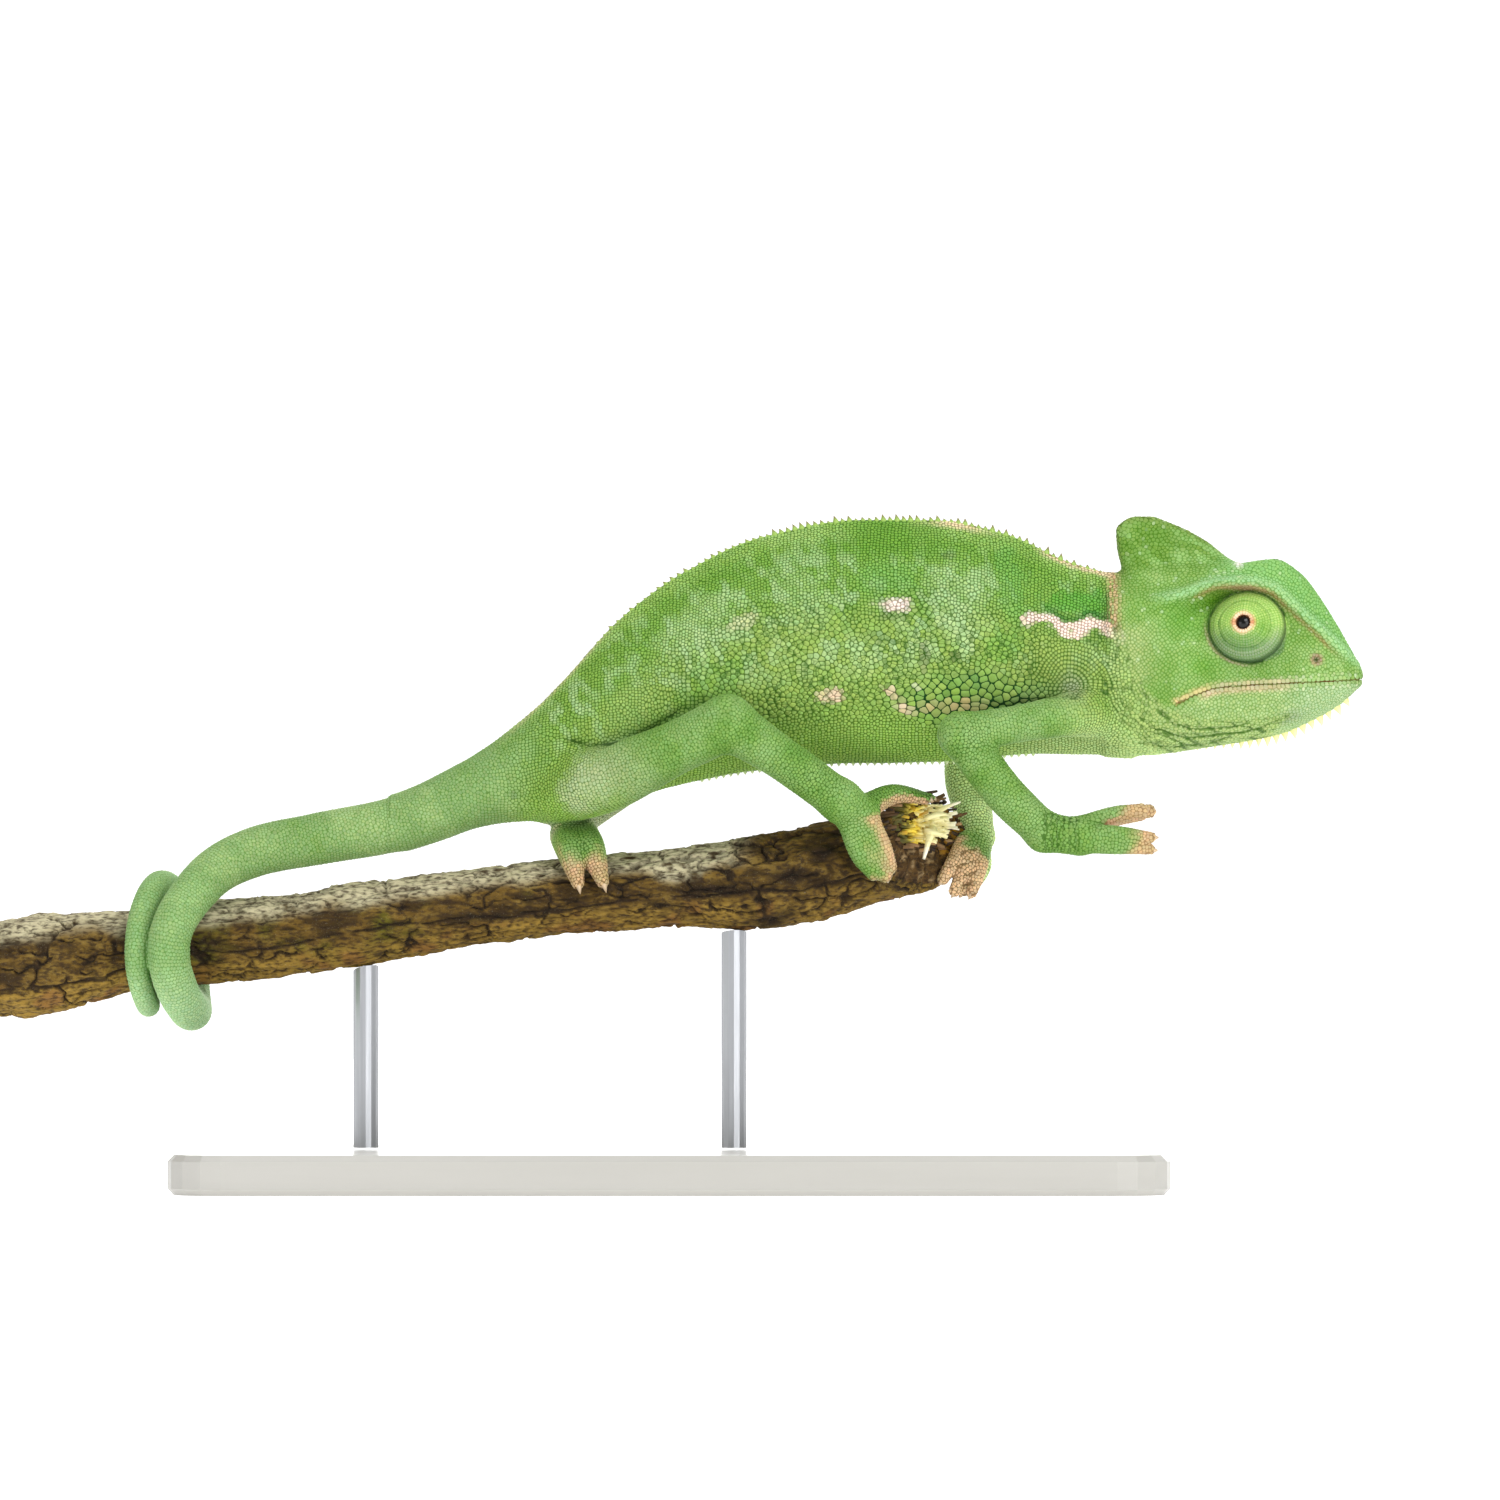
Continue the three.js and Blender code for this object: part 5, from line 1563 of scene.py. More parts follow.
    def land(self, tree: BVHTree, points: Points) -> tuple[Points, Points]:
        """The nearest place on the skin to each point, and how far it was."""
        found = [tree.find_nearest(p) for p in points.tolist()]
        return np.array([f[0] for f in found]), np.array([f[3] for f in found])

    def thin(self, points: Points, share: float, stretch: Sequence[float] = (1, 1, 1)) -> Points:
        """Drops each point that is nearer to an earlier one than that share of the wanted spacing.

        Args:
            points: The points, with the earlier ones more important.
            share: How much of the wanted spacing is kept clear.
            stretch: How the points have been stretched along each axis.
        """
        wanted = self.pitch(points / stretch) * share
        tree = tree_of(points)
        keep = np.ones(len(points), bool)
        for i, (p, radius) in enumerate(zip(points.tolist(), wanted.tolist(), strict=True)):
            if keep[i]:
                for _, j, _ in tree.find_range(p, radius):
                    if j > i:
                        keep[j] = False
        return points[keep]

    def neighbours(self, seeds: Points, count: int) -> tuple[Points, Points]:
        """The nearest seeds to each seed, and how far away they are."""
        tree = tree_of(seeds)
        found = [tree.find_n(p, count + 1)[1:] for p in seeds.tolist()]
        index = np.array([[f[1] for f in row] for row in found])
        return index, np.array([[f[2] for f in row] for row in found])

    def spread(self, seeds: Points) -> Points:
        """Moves each seed a little away from neighbours that are too close."""
        index, distance = self.neighbours(seeds, 6)
        away = seeds[:, None] - seeds[index]
        pitch = self.pitch(seeds)[:, None]
        push = np.clip(pitch - distance, 0, None) / np.maximum(distance, 1e-6) * (pitch < BROAD)
        return seeds + 0.28 * (away * push[..., None]).sum(1)

    def zones(self) -> dict[Zone, Points]:
        """Which scales belong to each piece of the coat."""
        x, y, _ = self.seeds.T
        pairs = [(leg.path(), np.array(leg.outer.path)) for leg in LEGS]
        distance = np.array([np.minimum(*(path_distance(self.seeds, p)[0] for p in pair)) for pair in pairs])
        leg, nearest = distance.argmin(0), distance.min(0)
        low = (self.seeds[:, 2] < self.plan.trunk.belly(x) - 0.4) & (x > -20)
        on_leg = ((nearest < 4.2) & (np.abs(y) > 6.2)) | low
        on_head = (x > 56) & ~on_leg
        on_tail = (x < -20) & ~on_leg
        on_trunk = ~(on_leg | on_head | on_tail)
        made = {
            Zone.TRUNK_RIGHT: on_trunk & (y < 0),
            Zone.TRUNK_LEFT: on_trunk & (y >= 0),
            Zone.HEAD: on_head,
            Zone.TAIL: on_tail,
            Zone.FORE_LEGS: on_leg & (leg >= 2),
            Zone.HIND_LEGS: on_leg & (leg < 2),
        }
        return {zone: members & self.shown for zone, members in made.items()}

    def unwrap(self, zone: Zone) -> Points:
        """Where each scale's root lies on a flat unwrap of the skin, from 0 to 1 each way."""
        spine = np.array([(a, 0, 66 - 0.4 * max(0, 5 - a)) for a in range(-36, 60, 4)])
        legs = [leg.path() for leg in LEGS]
        lines = {
            Zone.TAIL: [self.plan.tail.line(120)],
            Zone.FORE_LEGS: legs[2:],
            Zone.HIND_LEGS: legs[:2],
            Zone.HEAD: [np.array([(54.0, 0, 68), (70, 0, 68), (87, 0, 64)])],
        }.get(zone, [spine])
        best, flat = np.full(len(self.seeds), np.inf), np.zeros((len(self.seeds), 2))
        for i, line in enumerate(lines):
            distance, along = path_distance(self.seeds, line)
            shares = travelled(line)
            middle = np.stack([np.interp(along, shares / shares[-1], line[:, k]) for k in range(3)], axis=1)
            away = self.seeds - middle
            turn = np.arctan2(away[:, 1], away[:, 2] + 0.4 * away[:, 0]) / (2 * math.pi) + 0.5
            flat = np.where(
                (distance < best)[:, None], np.stack([along, (i + turn) / len(lines)], axis=1), flat
            )
            best = np.minimum(best, distance)
        return flat

    def plates(self, chosen: Points, rims: int) -> tuple[Shell, Points]:
        """Domed plates whose outlines meet half-way to their neighbours'.

        Args:
            chosen: The numbers of the scales to make.
            rims: How many corners an outline has. With eight or more, a plate has a flat top.

        Returns:
            The plates, and for each of their points the scale that it belongs to.
        """
        up, seeds, spacing = self.ups[chosen], self.seeds[chosen], self.spacing[chosen]
        head, large = self.plan.head_share(seeds), self.plan.large(seeds)
        middle, flank = self.plan.middle(seeds), self.plan.flank(seeds)
        keep = 0.96 - 0.035 * flank - 0.025 * middle - 0.02 * large
        rise = 0.15 - 0.05 * head - 0.04 * middle - 0.06 * large
        across = unit(np.cross(up, ASKEW))
        beside = np.cross(up, across)
        away = self.seeds[self.near[chosen]] - seeds[:, None]
        u, v = np.einsum("nkj,nj->nk", away, across), np.einsum("nkj,nj->nk", away, beside)
        half = (u**2 + v**2) / 2
        turn = 2 * math.pi * (np.arange(rims)[None] + hashed(np.round(seeds * 97), 5)[:, None]) / rims
        toward = u[:, :, None] * np.cos(turn)[:, None] + v[:, :, None] * np.sin(turn)[:, None]
        reach = np.where(toward > 1e-4, half[:, :, None] / np.maximum(toward, 1e-4), 9).min(1)
        reach = np.minimum(reach, 0.85 * spacing[:, None]) * keep[:, None]
        ways = spokes(across, beside, turn)
        lift = (spacing * rise)[:, None, None] * up[:, None]
        layers = [seeds[:, None] + ways * reach[..., None] - 0.012 * up[:, None]]
        if rims >= 8:
            layers.append(seeds[:, None] + ways * (0.76 * reach)[..., None] + 0.75 * lift)
        points = np.concatenate([*layers, seeds[:, None] + lift], axis=1)
        each = points.shape[1]
        base = (np.arange(len(seeds)) * each)[:, None]
        j = np.arange(rims)
        k = (j + 1) % rims
        last = (len(layers) - 1) * rims
        faces = [np.stack([last + j, last + k, np.full(rims, each - 1)], axis=1)]
        if len(layers) > 1:
            faces += [np.stack([j, k, rims + k], axis=1), np.stack([j, rims + k, rims + j], axis=1)]
        tris = (base[:, :, None] + np.concatenate(faces)[None]).reshape(-1, 3)
        return Shell(points.reshape(-1, 3), tris=tris), np.repeat(chosen, each)


# ---------------------------------------------------------------- shaders


class Wire:
    """A node's output socket, with arithmetic that adds Math nodes."""

    def __init__(self, kit: "NodeKit", socket: bpy.types.NodeSocket) -> None:
        """Wraps one output socket of a material that is being built."""
        self.kit, self.socket = kit, socket

    def _math(self, operation: str, *values: "Wire | float") -> "Wire":
        """A Math node on these values."""
        return self.kit.node("ShaderNodeMath", {"operation": operation}, dict(enumerate(values)))

    def __add__(self, other: "Wire | float") -> "Wire":
        """Sum."""
        return self._math("ADD", self, other)

    def __sub__(self, other: "Wire | float") -> "Wire":
        """Difference."""
        return self._math("SUBTRACT", self, other)

    def __rsub__(self, other: "Wire | float") -> "Wire":
        """Difference from a number."""
        return self._math("SUBTRACT", other, self)

    def __mul__(self, other: "Wire | float") -> "Wire":
        """Product."""
        return self._math("MULTIPLY", self, other)

    __radd__ = __add__
    __rmul__ = __mul__


Socketed = Wire | float | Colour | tuple[float, float, float, float]


class NodeKit:
    """Builds one material's nodes."""

    def __init__(self, name: str, roughness: float) -> None:
        """Starts a material with a principled shader of that roughness."""
        self.material = bpy.data.materials.new(name)
        self.material.use_nodes = True
        self.nodes = self.material.node_tree.nodes
        self.links = self.material.node_tree.links
        self.shader = next(n for n in self.nodes if n.type == "BSDF_PRINCIPLED")
        self.shader.inputs["Roughness"].default_value = roughness
        self.shader.inputs["Coat Roughness"].default_value = 0.15

    def node(
        self, kind: str, settings: dict[str, object], values: dict[int | str, Socketed], out: int | str = 0
    ) -> Wire:
        """Adds one node.

        Args:
            kind: The node's type.
            settings: Its own settings, or a ramp's stops under "stops", which are set first.
            values: Its sockets' values or links.
            out: The output to give back.

        Returns:
            That output.
        """
        made = self.nodes.new(kind)
        for key, value in settings.items():
            if key == "stops":
                ramp = made.color_ramp.elements
                while len(ramp) < len(value):
                    ramp.new(0.5)
                for stop, (position, shade) in zip(ramp, value, strict=True):
                    stop.position, stop.color = position, (*shade, 1.0)
            else:
                setattr(made, key, value)
        for key, value in values.items():
            if isinstance(value, Wire):
                self.links.new(value.socket, made.inputs[key])
            elif isinstance(value, tuple) and len(value) == 3 and made.inputs[key].type == "RGBA":
                made.inputs[key].default_value = (*value, 1.0)
            else:
                made.inputs[key].default_value = value
        return Wire(self, made.outputs[out])

    def place(self) -> Wire:
        """Places in the object's own frame, in metres."""
        return self.node("ShaderNodeTexCoord", {}, {}, "Object")

    def grain(self, size: float, detail: float = 3.0, stretch: Colour = (1, 1, 1)) -> Wire:
        """Noise with waves of that size in millimetres, stretched along the axes."""
        scaled = self.node("ShaderNodeMapping", {}, {"Vector": self.place(), "Scale": stretch})
        scale = 1 / (size * MM)
        return self.node(
            "ShaderNodeTexNoise", {}, {"Vector": scaled, "Scale": scale, "Detail": detail}, "Fac"
        )

    def painted(self, name: str) -> Wire:
        """A mesh's own colours."""
        return self.node("ShaderNodeAttribute", {"attribute_name": name}, {}, "Color")

    def measured(self, name: str) -> Wire:
        """A mesh's own numbers."""
        return self.node("ShaderNodeAttribute", {"attribute_name": name}, {}, "Fac")

    def mix(self, first: Socketed, second: Socketed, share: Wire | float, blend: str = "MIX") -> Wire:
        """Two colours mixed."""
        settings = {"data_type": "RGBA", "blend_type": blend, "clamp_result": False}
        return self.node("ShaderNodeMix", settings, {0: share, 6: first, 7: second}, 2)

    def ramp(self, value: Wire, *stops: tuple[float, Colour]) -> Wire:
        """A value turned into colours."""
        return self.node("ShaderNodeValToRGB", {"stops": stops}, {0: value})

    def feed(self, socket: str, value: Socketed) -> None:
        """Links a value or a colour to the shader."""
        if isinstance(value, Wire):
            self.links.new(value.socket, self.shader.inputs[socket])
        else:
            self.shader.inputs[socket].default_value = value

    def bump(self, height: Wire, depth: float, strength: float = 1.0) -> None:
        """Roughens the surface's shading, by a depth in millimetres."""
        values = {"Height": height, "Distance": depth * MM, "Strength": strength}
        self.feed("Normal", self.node("ShaderNodeBump", {}, values))


Grain = tuple[float, float, Colour]  # the size of a noise's waves, its detail, and how it is stretched
EVEN: Colour = (1, 1, 1)


@dataclass(frozen=True)
class Layer:
    """A colour laid over a finish by noise, from none of it at one value to its whole share at another."""

    colour: Colour
    grain: Grain
    none_at: float
    all_at: float
    share: float


@dataclass(frozen=True)
class Finish:
    """A tone under layers of colour, with a roughness and a relief that are noise too."""

    name: str
    roughness: float
    uneven: tuple[float, Grain] | None  # how much a noise adds to the roughness
    relief: tuple[tuple[float, Grain], ...]  # the noises that the relief adds up, and how much of each
    depth: float
    strength: float
    layers: tuple[Layer, ...]
    colour: Colour | None = None  # the mesh's own colours if there is none
    settings: tuple[tuple[str, float | Colour], ...] = ()  # other sockets of the shader

    def material(self) -> bpy.types.Material:
        """Builds the material."""
        kit = NodeKit(self.name, self.roughness)
        tone: Socketed = self.colour or kit.painted("tone")
        for layer in self.layers:
            reach = {0: kit.grain(*layer.grain), 1: layer.none_at, 2: layer.all_at, 3: 0.0, 4: layer.share}
            tone = kit.mix(tone, layer.colour, kit.node("ShaderNodeMapRange", {}, reach))
        kit.feed("Base Color", tone)
        if self.uneven:
            kit.feed("Roughness", self.roughness + self.uneven[0] * kit.grain(*self.uneven[1]))
        first, *others = (amount * kit.grain(*grain) for amount, grain in self.relief)
        kit.bump(sum(others, first), self.depth, self.strength)
        for socket, value in self.settings:
            kit.feed(socket, value)
        return kit.material


FLECK, DUST = (0.42, 7, (0.45, 1, 1)), (0.16, 4, EVEN)
FIBRE, DRAWN = (0.35, 4, (0.12, 1, 1)), (0.3, 4, (1, 1, 0.03))
BOARD = (3, 5, (0.08, 1, 1))
SCALE_FINISH = Finish(
    "scale_finish", 0.5, (0.2, (0.8, 2, EVEN)), ((1, (0.09, 2, EVEN)),), 0.01, 0.5,
    (Layer((1, 1, 1), (0.12, 2, EVEN), 0.5, 0.9, 0.07),),
    settings=(("Subsurface Weight", 0.12), ("Subsurface Radius", (0.6, 1.0, 0.3)),
              ("Subsurface Scale", 0.6 * MM),
              ("Specular IOR Level", 0.15)),
)  # fmt: skip
SKIN_FINISH = Finish(
    "skin_finish", 0.75, None, ((1, (0.25, 3, EVEN)),), 0.05, 0.6,
    (Layer((0.02, 0.05, 0.01), (0.3, 3, EVEN), 0, 1, 0.25),),
    settings=(("Specular IOR Level", 0.1),),
)  # fmt: skip
BARK_FINISH = Finish(
    "bark_finish", 0.75, (0.25, DUST), ((1, FLECK), (0.5, DUST)), 0.3, 1.0,
    (Layer((0.03, 0.016, 0.006), FLECK, 0.56, 0.36, 0.85), Layer((0.5, 0.47, 0.33), DUST, 0.6, 0.85, 0.3)),
    settings=(("Specular IOR Level", 0.25),),
)  # fmt: skip
WOOD_FINISH = Finish(
    "torn_wood_finish", 0.7, None, ((1, FIBRE),), 0.2, 0.8,
    (Layer((0.3, 0.18, 0.03), FIBRE, 0.5, 0.3, 0.25),),
)  # fmt: skip
STAND_FINISH = Finish(
    "stand_finish", 0.38, (0.15, BOARD), ((1, (0.4, 3, EVEN)),), 0.02, 0.4,
    (Layer((0.34, 0.33, 0.3), BOARD, 0.3, 0.7, 0.25),), (0.42, 0.41, 0.38), (("Coat Weight", 0.2),),
)  # fmt: skip
ROD_FINISH = Finish(
    "rod_finish", 0.24, (0.2, DRAWN), ((1, DRAWN),), 0.02, 0.4,
    (Layer((0.34, 0.35, 0.37), DRAWN, 0, 1, 1),), (0.46, 0.47, 0.49), (("Metallic", 1.0),),
)  # fmt: skip


@dataclass(frozen=True)
class HornFinish:
    """Claws and spines: smooth, a little clear, with a darker tip."""

    name: str
    root: str
    tip: str
    roughness: float

    def material(self) -> bpy.types.Material:
        """Builds the material, which reads each point's "height" from root to tip."""
        kit = NodeKit(self.name, self.roughness)
        height = kit.measured("height")
        streaks = kit.grain(0.25, 3)
        share = kit.node("ShaderNodeMapRange", {}, {0: height + 0.35 * streaks, 1: 0.35, 2: 1.1})
        kit.feed("Base Color", kit.mix(*(tuple(linear(tone)) for tone in (self.root, self.tip)), share))
        kit.feed("Roughness", 0.3 + 0.25 * streaks)
        kit.bump(kit.grain(0.15, 2), 0.015, 0.5)
        return kit.material


@dataclass(frozen=True)
class EyeFinish:
    """The eyeball: a black pupil in a thin gold-brown ring, under a wet surface."""

    name: str = "eye_finish"

    def material(self) -> bpy.types.Material:
        """Builds the material. Each point's "height" is its distance from the pupil's middle."""
        kit = NodeKit(self.name, 0.12)
        kit.shader.inputs["Specular IOR Level"].default_value = 0.32
        away = kit.measured("height")
        fibres = kit.grain(0.12, 3)
        stops = (
            (0.0, (0.003, 0.003, 0.003)),
            (0.66, (0.004, 0.003, 0.003)),
            (0.73, (0.05, 0.02, 0.008)),
            (0.82, (0.36, 0.19, 0.09)),
            (0.94, (0.2, 0.09, 0.04)),
            (1.0, (0.05, 0.03, 0.012)),
        )
        scaled = kit.node("ShaderNodeMapRange", {}, {0: away + 0.12 * fibres, 1: 0.06, 2: 1.2})
        kit.feed("Base Color", kit.ramp(scaled, *stops))
        kit.feed("Roughness", 0.05 + 0.04 * fibres)
        return kit.material


# ---------------------------------------------------------------- animal


@dataclass
class Animal:
    """The chameleon: one skin, its coat of scales, and its eyes, claws and spines."""

    plan: Plan = Plan()

    def flesh_nodes(self) -> list[str]:
        """The CAD nodes that the one skin stands for."""
        return [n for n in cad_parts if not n.startswith(("stand_", "branch", "eye_right", "eye_left"))]

    def sculpt(self) -> Shell:
        """The whole skin, with its finer forms."""
        plan = self.plan
        clay = Clay((-73, -17.5, 17), (88, 17.5, 87), SKIN_STEP)
        clay.join(plan.trunk.shell(), 0.5)
        clay.join(plan.head.shell(), 1.6)
        clay.join(plan.head.casque(), 1.5)
        for side in (-1, 1):
            clay.join(plan.head.brow_ridge(side), 0.9)
        for eye in plan.eyes:
            clay.carve(eye.socket(), 0.8)
            clay.join(eye.turret(), 0.12)
            clay.join(eye.rim(), 0.3)
            clay.carve(eye.opening(), 0.2)
        clay.join(plan.tail.shell(420, 40), 2.2)
        for leg in LEGS:
            upper, lower, foot = leg.limbs()
            clay.join(upper.shell(), 0.7, leg.root, 2.6)
            clay.join(lower.shell(), 0.9)
            clay.join(foot.shell(), 0.9)
            for toes in leg.bundles:
                for toe in toes.toes():
                    clay.join(toe.shell(28, 24), 0.7)
        skin = clay.surface()
        normals = skin.normals()
        skin.points = skin.points + normals * Relief(plan).depth(skin.points, normals)[:, None]
        return skin

    def build(self) -> None:
        """Makes every piece of the animal."""
        skin = self.sculpt()
        normals = skin.normals()
        markings = Markings(self.plan)
        mesh = skin.mesh("skin")
        tones = markings.colours(skin.points, normals)
        paint(mesh, "tone", markings.between(skin.points, tones))
        place("skin", mesh, SKIN_FINISH.material(), "skin", self.flesh_nodes())
        self.scales(Coat(skin, normals, self.plan), markings)
        self.spines()
        self.claws()
        for eye in self.plan.eyes:
            self.eyeball(eye)

    def scales(self, coat: Coat, markings: Markings) -> None:
        """Lays the coat and makes its pieces."""
        coat.lay()
        tones = markings.colours(coat.seeds, coat.ups)
        vary = 0.2 - 0.1 * self.plan.head_share(coat.seeds) - 0.05 * self.plan.middle(coat.seeds)
        cell, warmth = (hashed(np.round(coat.seeds * 31), seed) - 0.5 for seed in (9, 10))
        tones = tones * (1 + vary * cell)[:, None] * (1 + 0.14 * warmth[:, None] * [1.0, 0.1, -0.6])
        finish = SCALE_FINISH.material()
        for zone, members in coat.zones().items():
            chosen = (
                np.flatnonzero(members & test) for test in (coat.spacing < LARGE, coat.spacing >= LARGE)
            )
            parts = [coat.plates(some, rims) for some, rims in zip(chosen, RIMS, strict=True) if len(some)]
            shell = Shell.joined(p[0] for p in parts)
            owner = np.concatenate([p[1] for p in parts])
            mesh = shell.mesh(zone.value)
            paint(mesh, "tone", markings.lined(shell.points, tones[owner]))
            self.lay_flat(mesh, coat, zone, owner, shell)
            place(zone.value, mesh, finish, "skin")

    def lay_flat(self, mesh: bpy.types.Mesh, coat: Coat, zone: Zone, owner: Points, shell: Shell) -> None:
        """Gives each scale a small patch at its root's place on an unwrap of the skin."""
        flat = coat.unwrap(zone)[owner]
        up = coat.ups[owner]
        across = unit(np.cross(up, ASKEW))
        away = shell.points - coat.seeds[owner]
        local = np.stack([np.sum(away * across, 1), np.sum(away * np.cross(up, across), 1)], axis=1)
        local *= PATCH / (2 * REACH * coat.spacing[owner])[:, None]
        bake_map(mesh, PATCH + (1 - 2 * PATCH) * flat + np.clip(local, -PATCH / 2, PATCH / 2))

    def cones(
        self, places: Points, ways: Points, heights: Points, radii: Points, lean: Points
    ) -> tuple[Shell, Points]:
        """Small bent cones.

        Args:
            places: The middle of each foot.
            ways: The way that each points.
            heights: How tall each is.
            radii: How wide each foot is.
            lean: The way that each tip bends, as a vector in millimetres.

        Returns:
            The cones, and how far up its cone each point is, from 0 to 1.
        """
        made = []
        levels = np.array([-0.25, 0.0, 0.35, 0.7, 0.93, 1.0])
        widths = np.array([1.12, 1.0, 0.68, 0.33, 0.12, 0.03])
        sides = 9
        for foot, way, height, radius, bend in zip(places, ways, heights, radii, lean, strict=True):
            across = unit(np.cross(way, np.array([0.9, 0.1, 0.2])))
            ring = spokes(across, np.cross(way, across), turns(sides))
            middles = foot + way * (levels * height)[:, None] + bend * (np.maximum(levels, 0) ** 2)[:, None]
            made.append(Shell.loft(middles[:, None] + ring[None] * (widths * radius)[:, None, None]))
        share = np.tile(np.append(np.repeat(np.clip(levels, 0, 1), sides), [0, 1]), len(made))
        return Shell.joined(made), share

    def spine_row(self, name: str, places: Points, ways: Points, heights: Points, radii: Points, bend: Points,
                  finish: HornFinish) -> None:  # fmt: skip
        """Makes one row of spines as a piece, with its patches on the unwrap."""
        shell, share = self.cones(places, ways, heights, radii, bend)
        mesh = shell.mesh(name)
        measure(mesh, "height", share)
        root = np.repeat(np.linspace(0.01, 0.99, len(places)), len(share) // len(places))
        spoke = (shell.points - np.repeat(places, len(share) // len(places), 0))[:, 1] / np.max(radii)
        bake_map(
            mesh, np.stack([root + PATCH / 2 * np.clip(spoke, -1, 1), 0.5 + PATCH * (share - 0.5)], axis=1)
        )
        place(name, mesh, finish.material(), "skin")

    def chance(self, x: Points) -> Points:
        """A number from 0 to 1 that each spine has of its own."""
        return hashed(np.round(x[:, None] * [9, 5, 7]), 3)

    def spines(self) -> None:
        """The crest along the back, the spines under the chin and the small ones along the belly."""
        back, chin, belly = self.plan.trunk.back, self.plan.head.chin, self.plan.trunk.belly
        x = np.arange(-9, 54, 0.85)
        size = (0.55 + 0.45 * smooth(-9, 22, x) * smooth(56, 46, x)) * (0.5 + 0.9 * self.chance(x))
        slope = (back(x + 0.3) - back(x - 0.3)) / 0.6
        ways = unit(vectors(-slope, 0, 1))
        places = vectors(x, 0, back(x) - 0.22)
        lean = unit(vectors(-1, 0, -slope)) * 0.2
        green = HornFinish("back_spine_finish", "8fb04e", "6b4a32", 0.5)
        self.spine_row("back_crest", places, ways, 0.62 * size, 0.26 + 0.12 * size, lean, green)
        x = np.arange(66, 84.6, 1.08)
        size = 0.35 + 0.65 * smooth(66, 75, x) * (0.85 + 0.3 * self.chance(x))
        slope = (chin(x + 0.3) - chin(x - 0.3)) / 0.6
        ways = unit(vectors(slope, 0, -1))
        places = vectors(x, 0, chin(x) + 0.3)
        cream = HornFinish("throat_spine_finish", "dcdc92", "f6eeb8", 0.45)
        lean = vectors(-0.25 + 0 * x)
        self.spine_row("throat_crest", places, ways, 1.35 * size, 0.56 * size, lean, cream)
        x = np.arange(4, 46, 0.9)
        places = vectors(x, 0, belly(x) + 0.12)
        ways = vectors(0 * x, 0, -1)
        white = HornFinish("belly_spine_finish", "b9cf8c", "f0f0d4", 0.5)
        self.spine_row(
            "belly_crest", places, ways, np.full(len(x), 0.4), np.full(len(x), 0.27), 0 * ways, white
        )

    def claws(self) -> None:
        """Every toe's claw."""
        made = [claw for leg in LEGS for toes in leg.bundles for claw in toes.claws()]
        shell = Shell.joined(made)
        mesh = shell.mesh("claws")
        each = len(made[0].points)
        measure(mesh, "height", np.tile(np.clip(np.linspace(-0.3, 1.15, each), 0, 1), len(made)))
        finish = HornFinish("claw_finish", "cdb594", "9a7f5c", 0.3)
        place("claws", mesh, finish.material(), "limb_skin")

    def eyeball(self, eye: Eye) -> None:
        """One eyeball, with a slight bulge over its pupil."""
        heights = np.cos(np.linspace(math.pi, 0.02, 40)) * eye.ball_radius
        radii = np.sqrt(np.maximum(eye.ball_radius**2 - heights**2, 1e-6))
        shell = eye.lathe(heights, radii, 48)
        shell.points = shell.points - eye.foot + eye.ball_centre
        _, from_axis = eye.local(shell.points)
        behind = (shell.points - eye.ball_centre) @ eye.gaze < 0
        shell.points = shell.points + np.outer(0.1 * bump(from_axis, 0.8) * ~behind, eye.gaze)
        name = "eyeball_right" if eye.side < 0 else "eyeball_left"
        mesh = shell.mesh(name)
        measure(mesh, "height", np.where(behind, 2.0, from_axis))
        node = "eye_right" if eye.side < 0 else "eye_left"
        place(name, mesh, EyeFinish().material(), "eye", [node])


# ---------------------------------------------------------------- branch


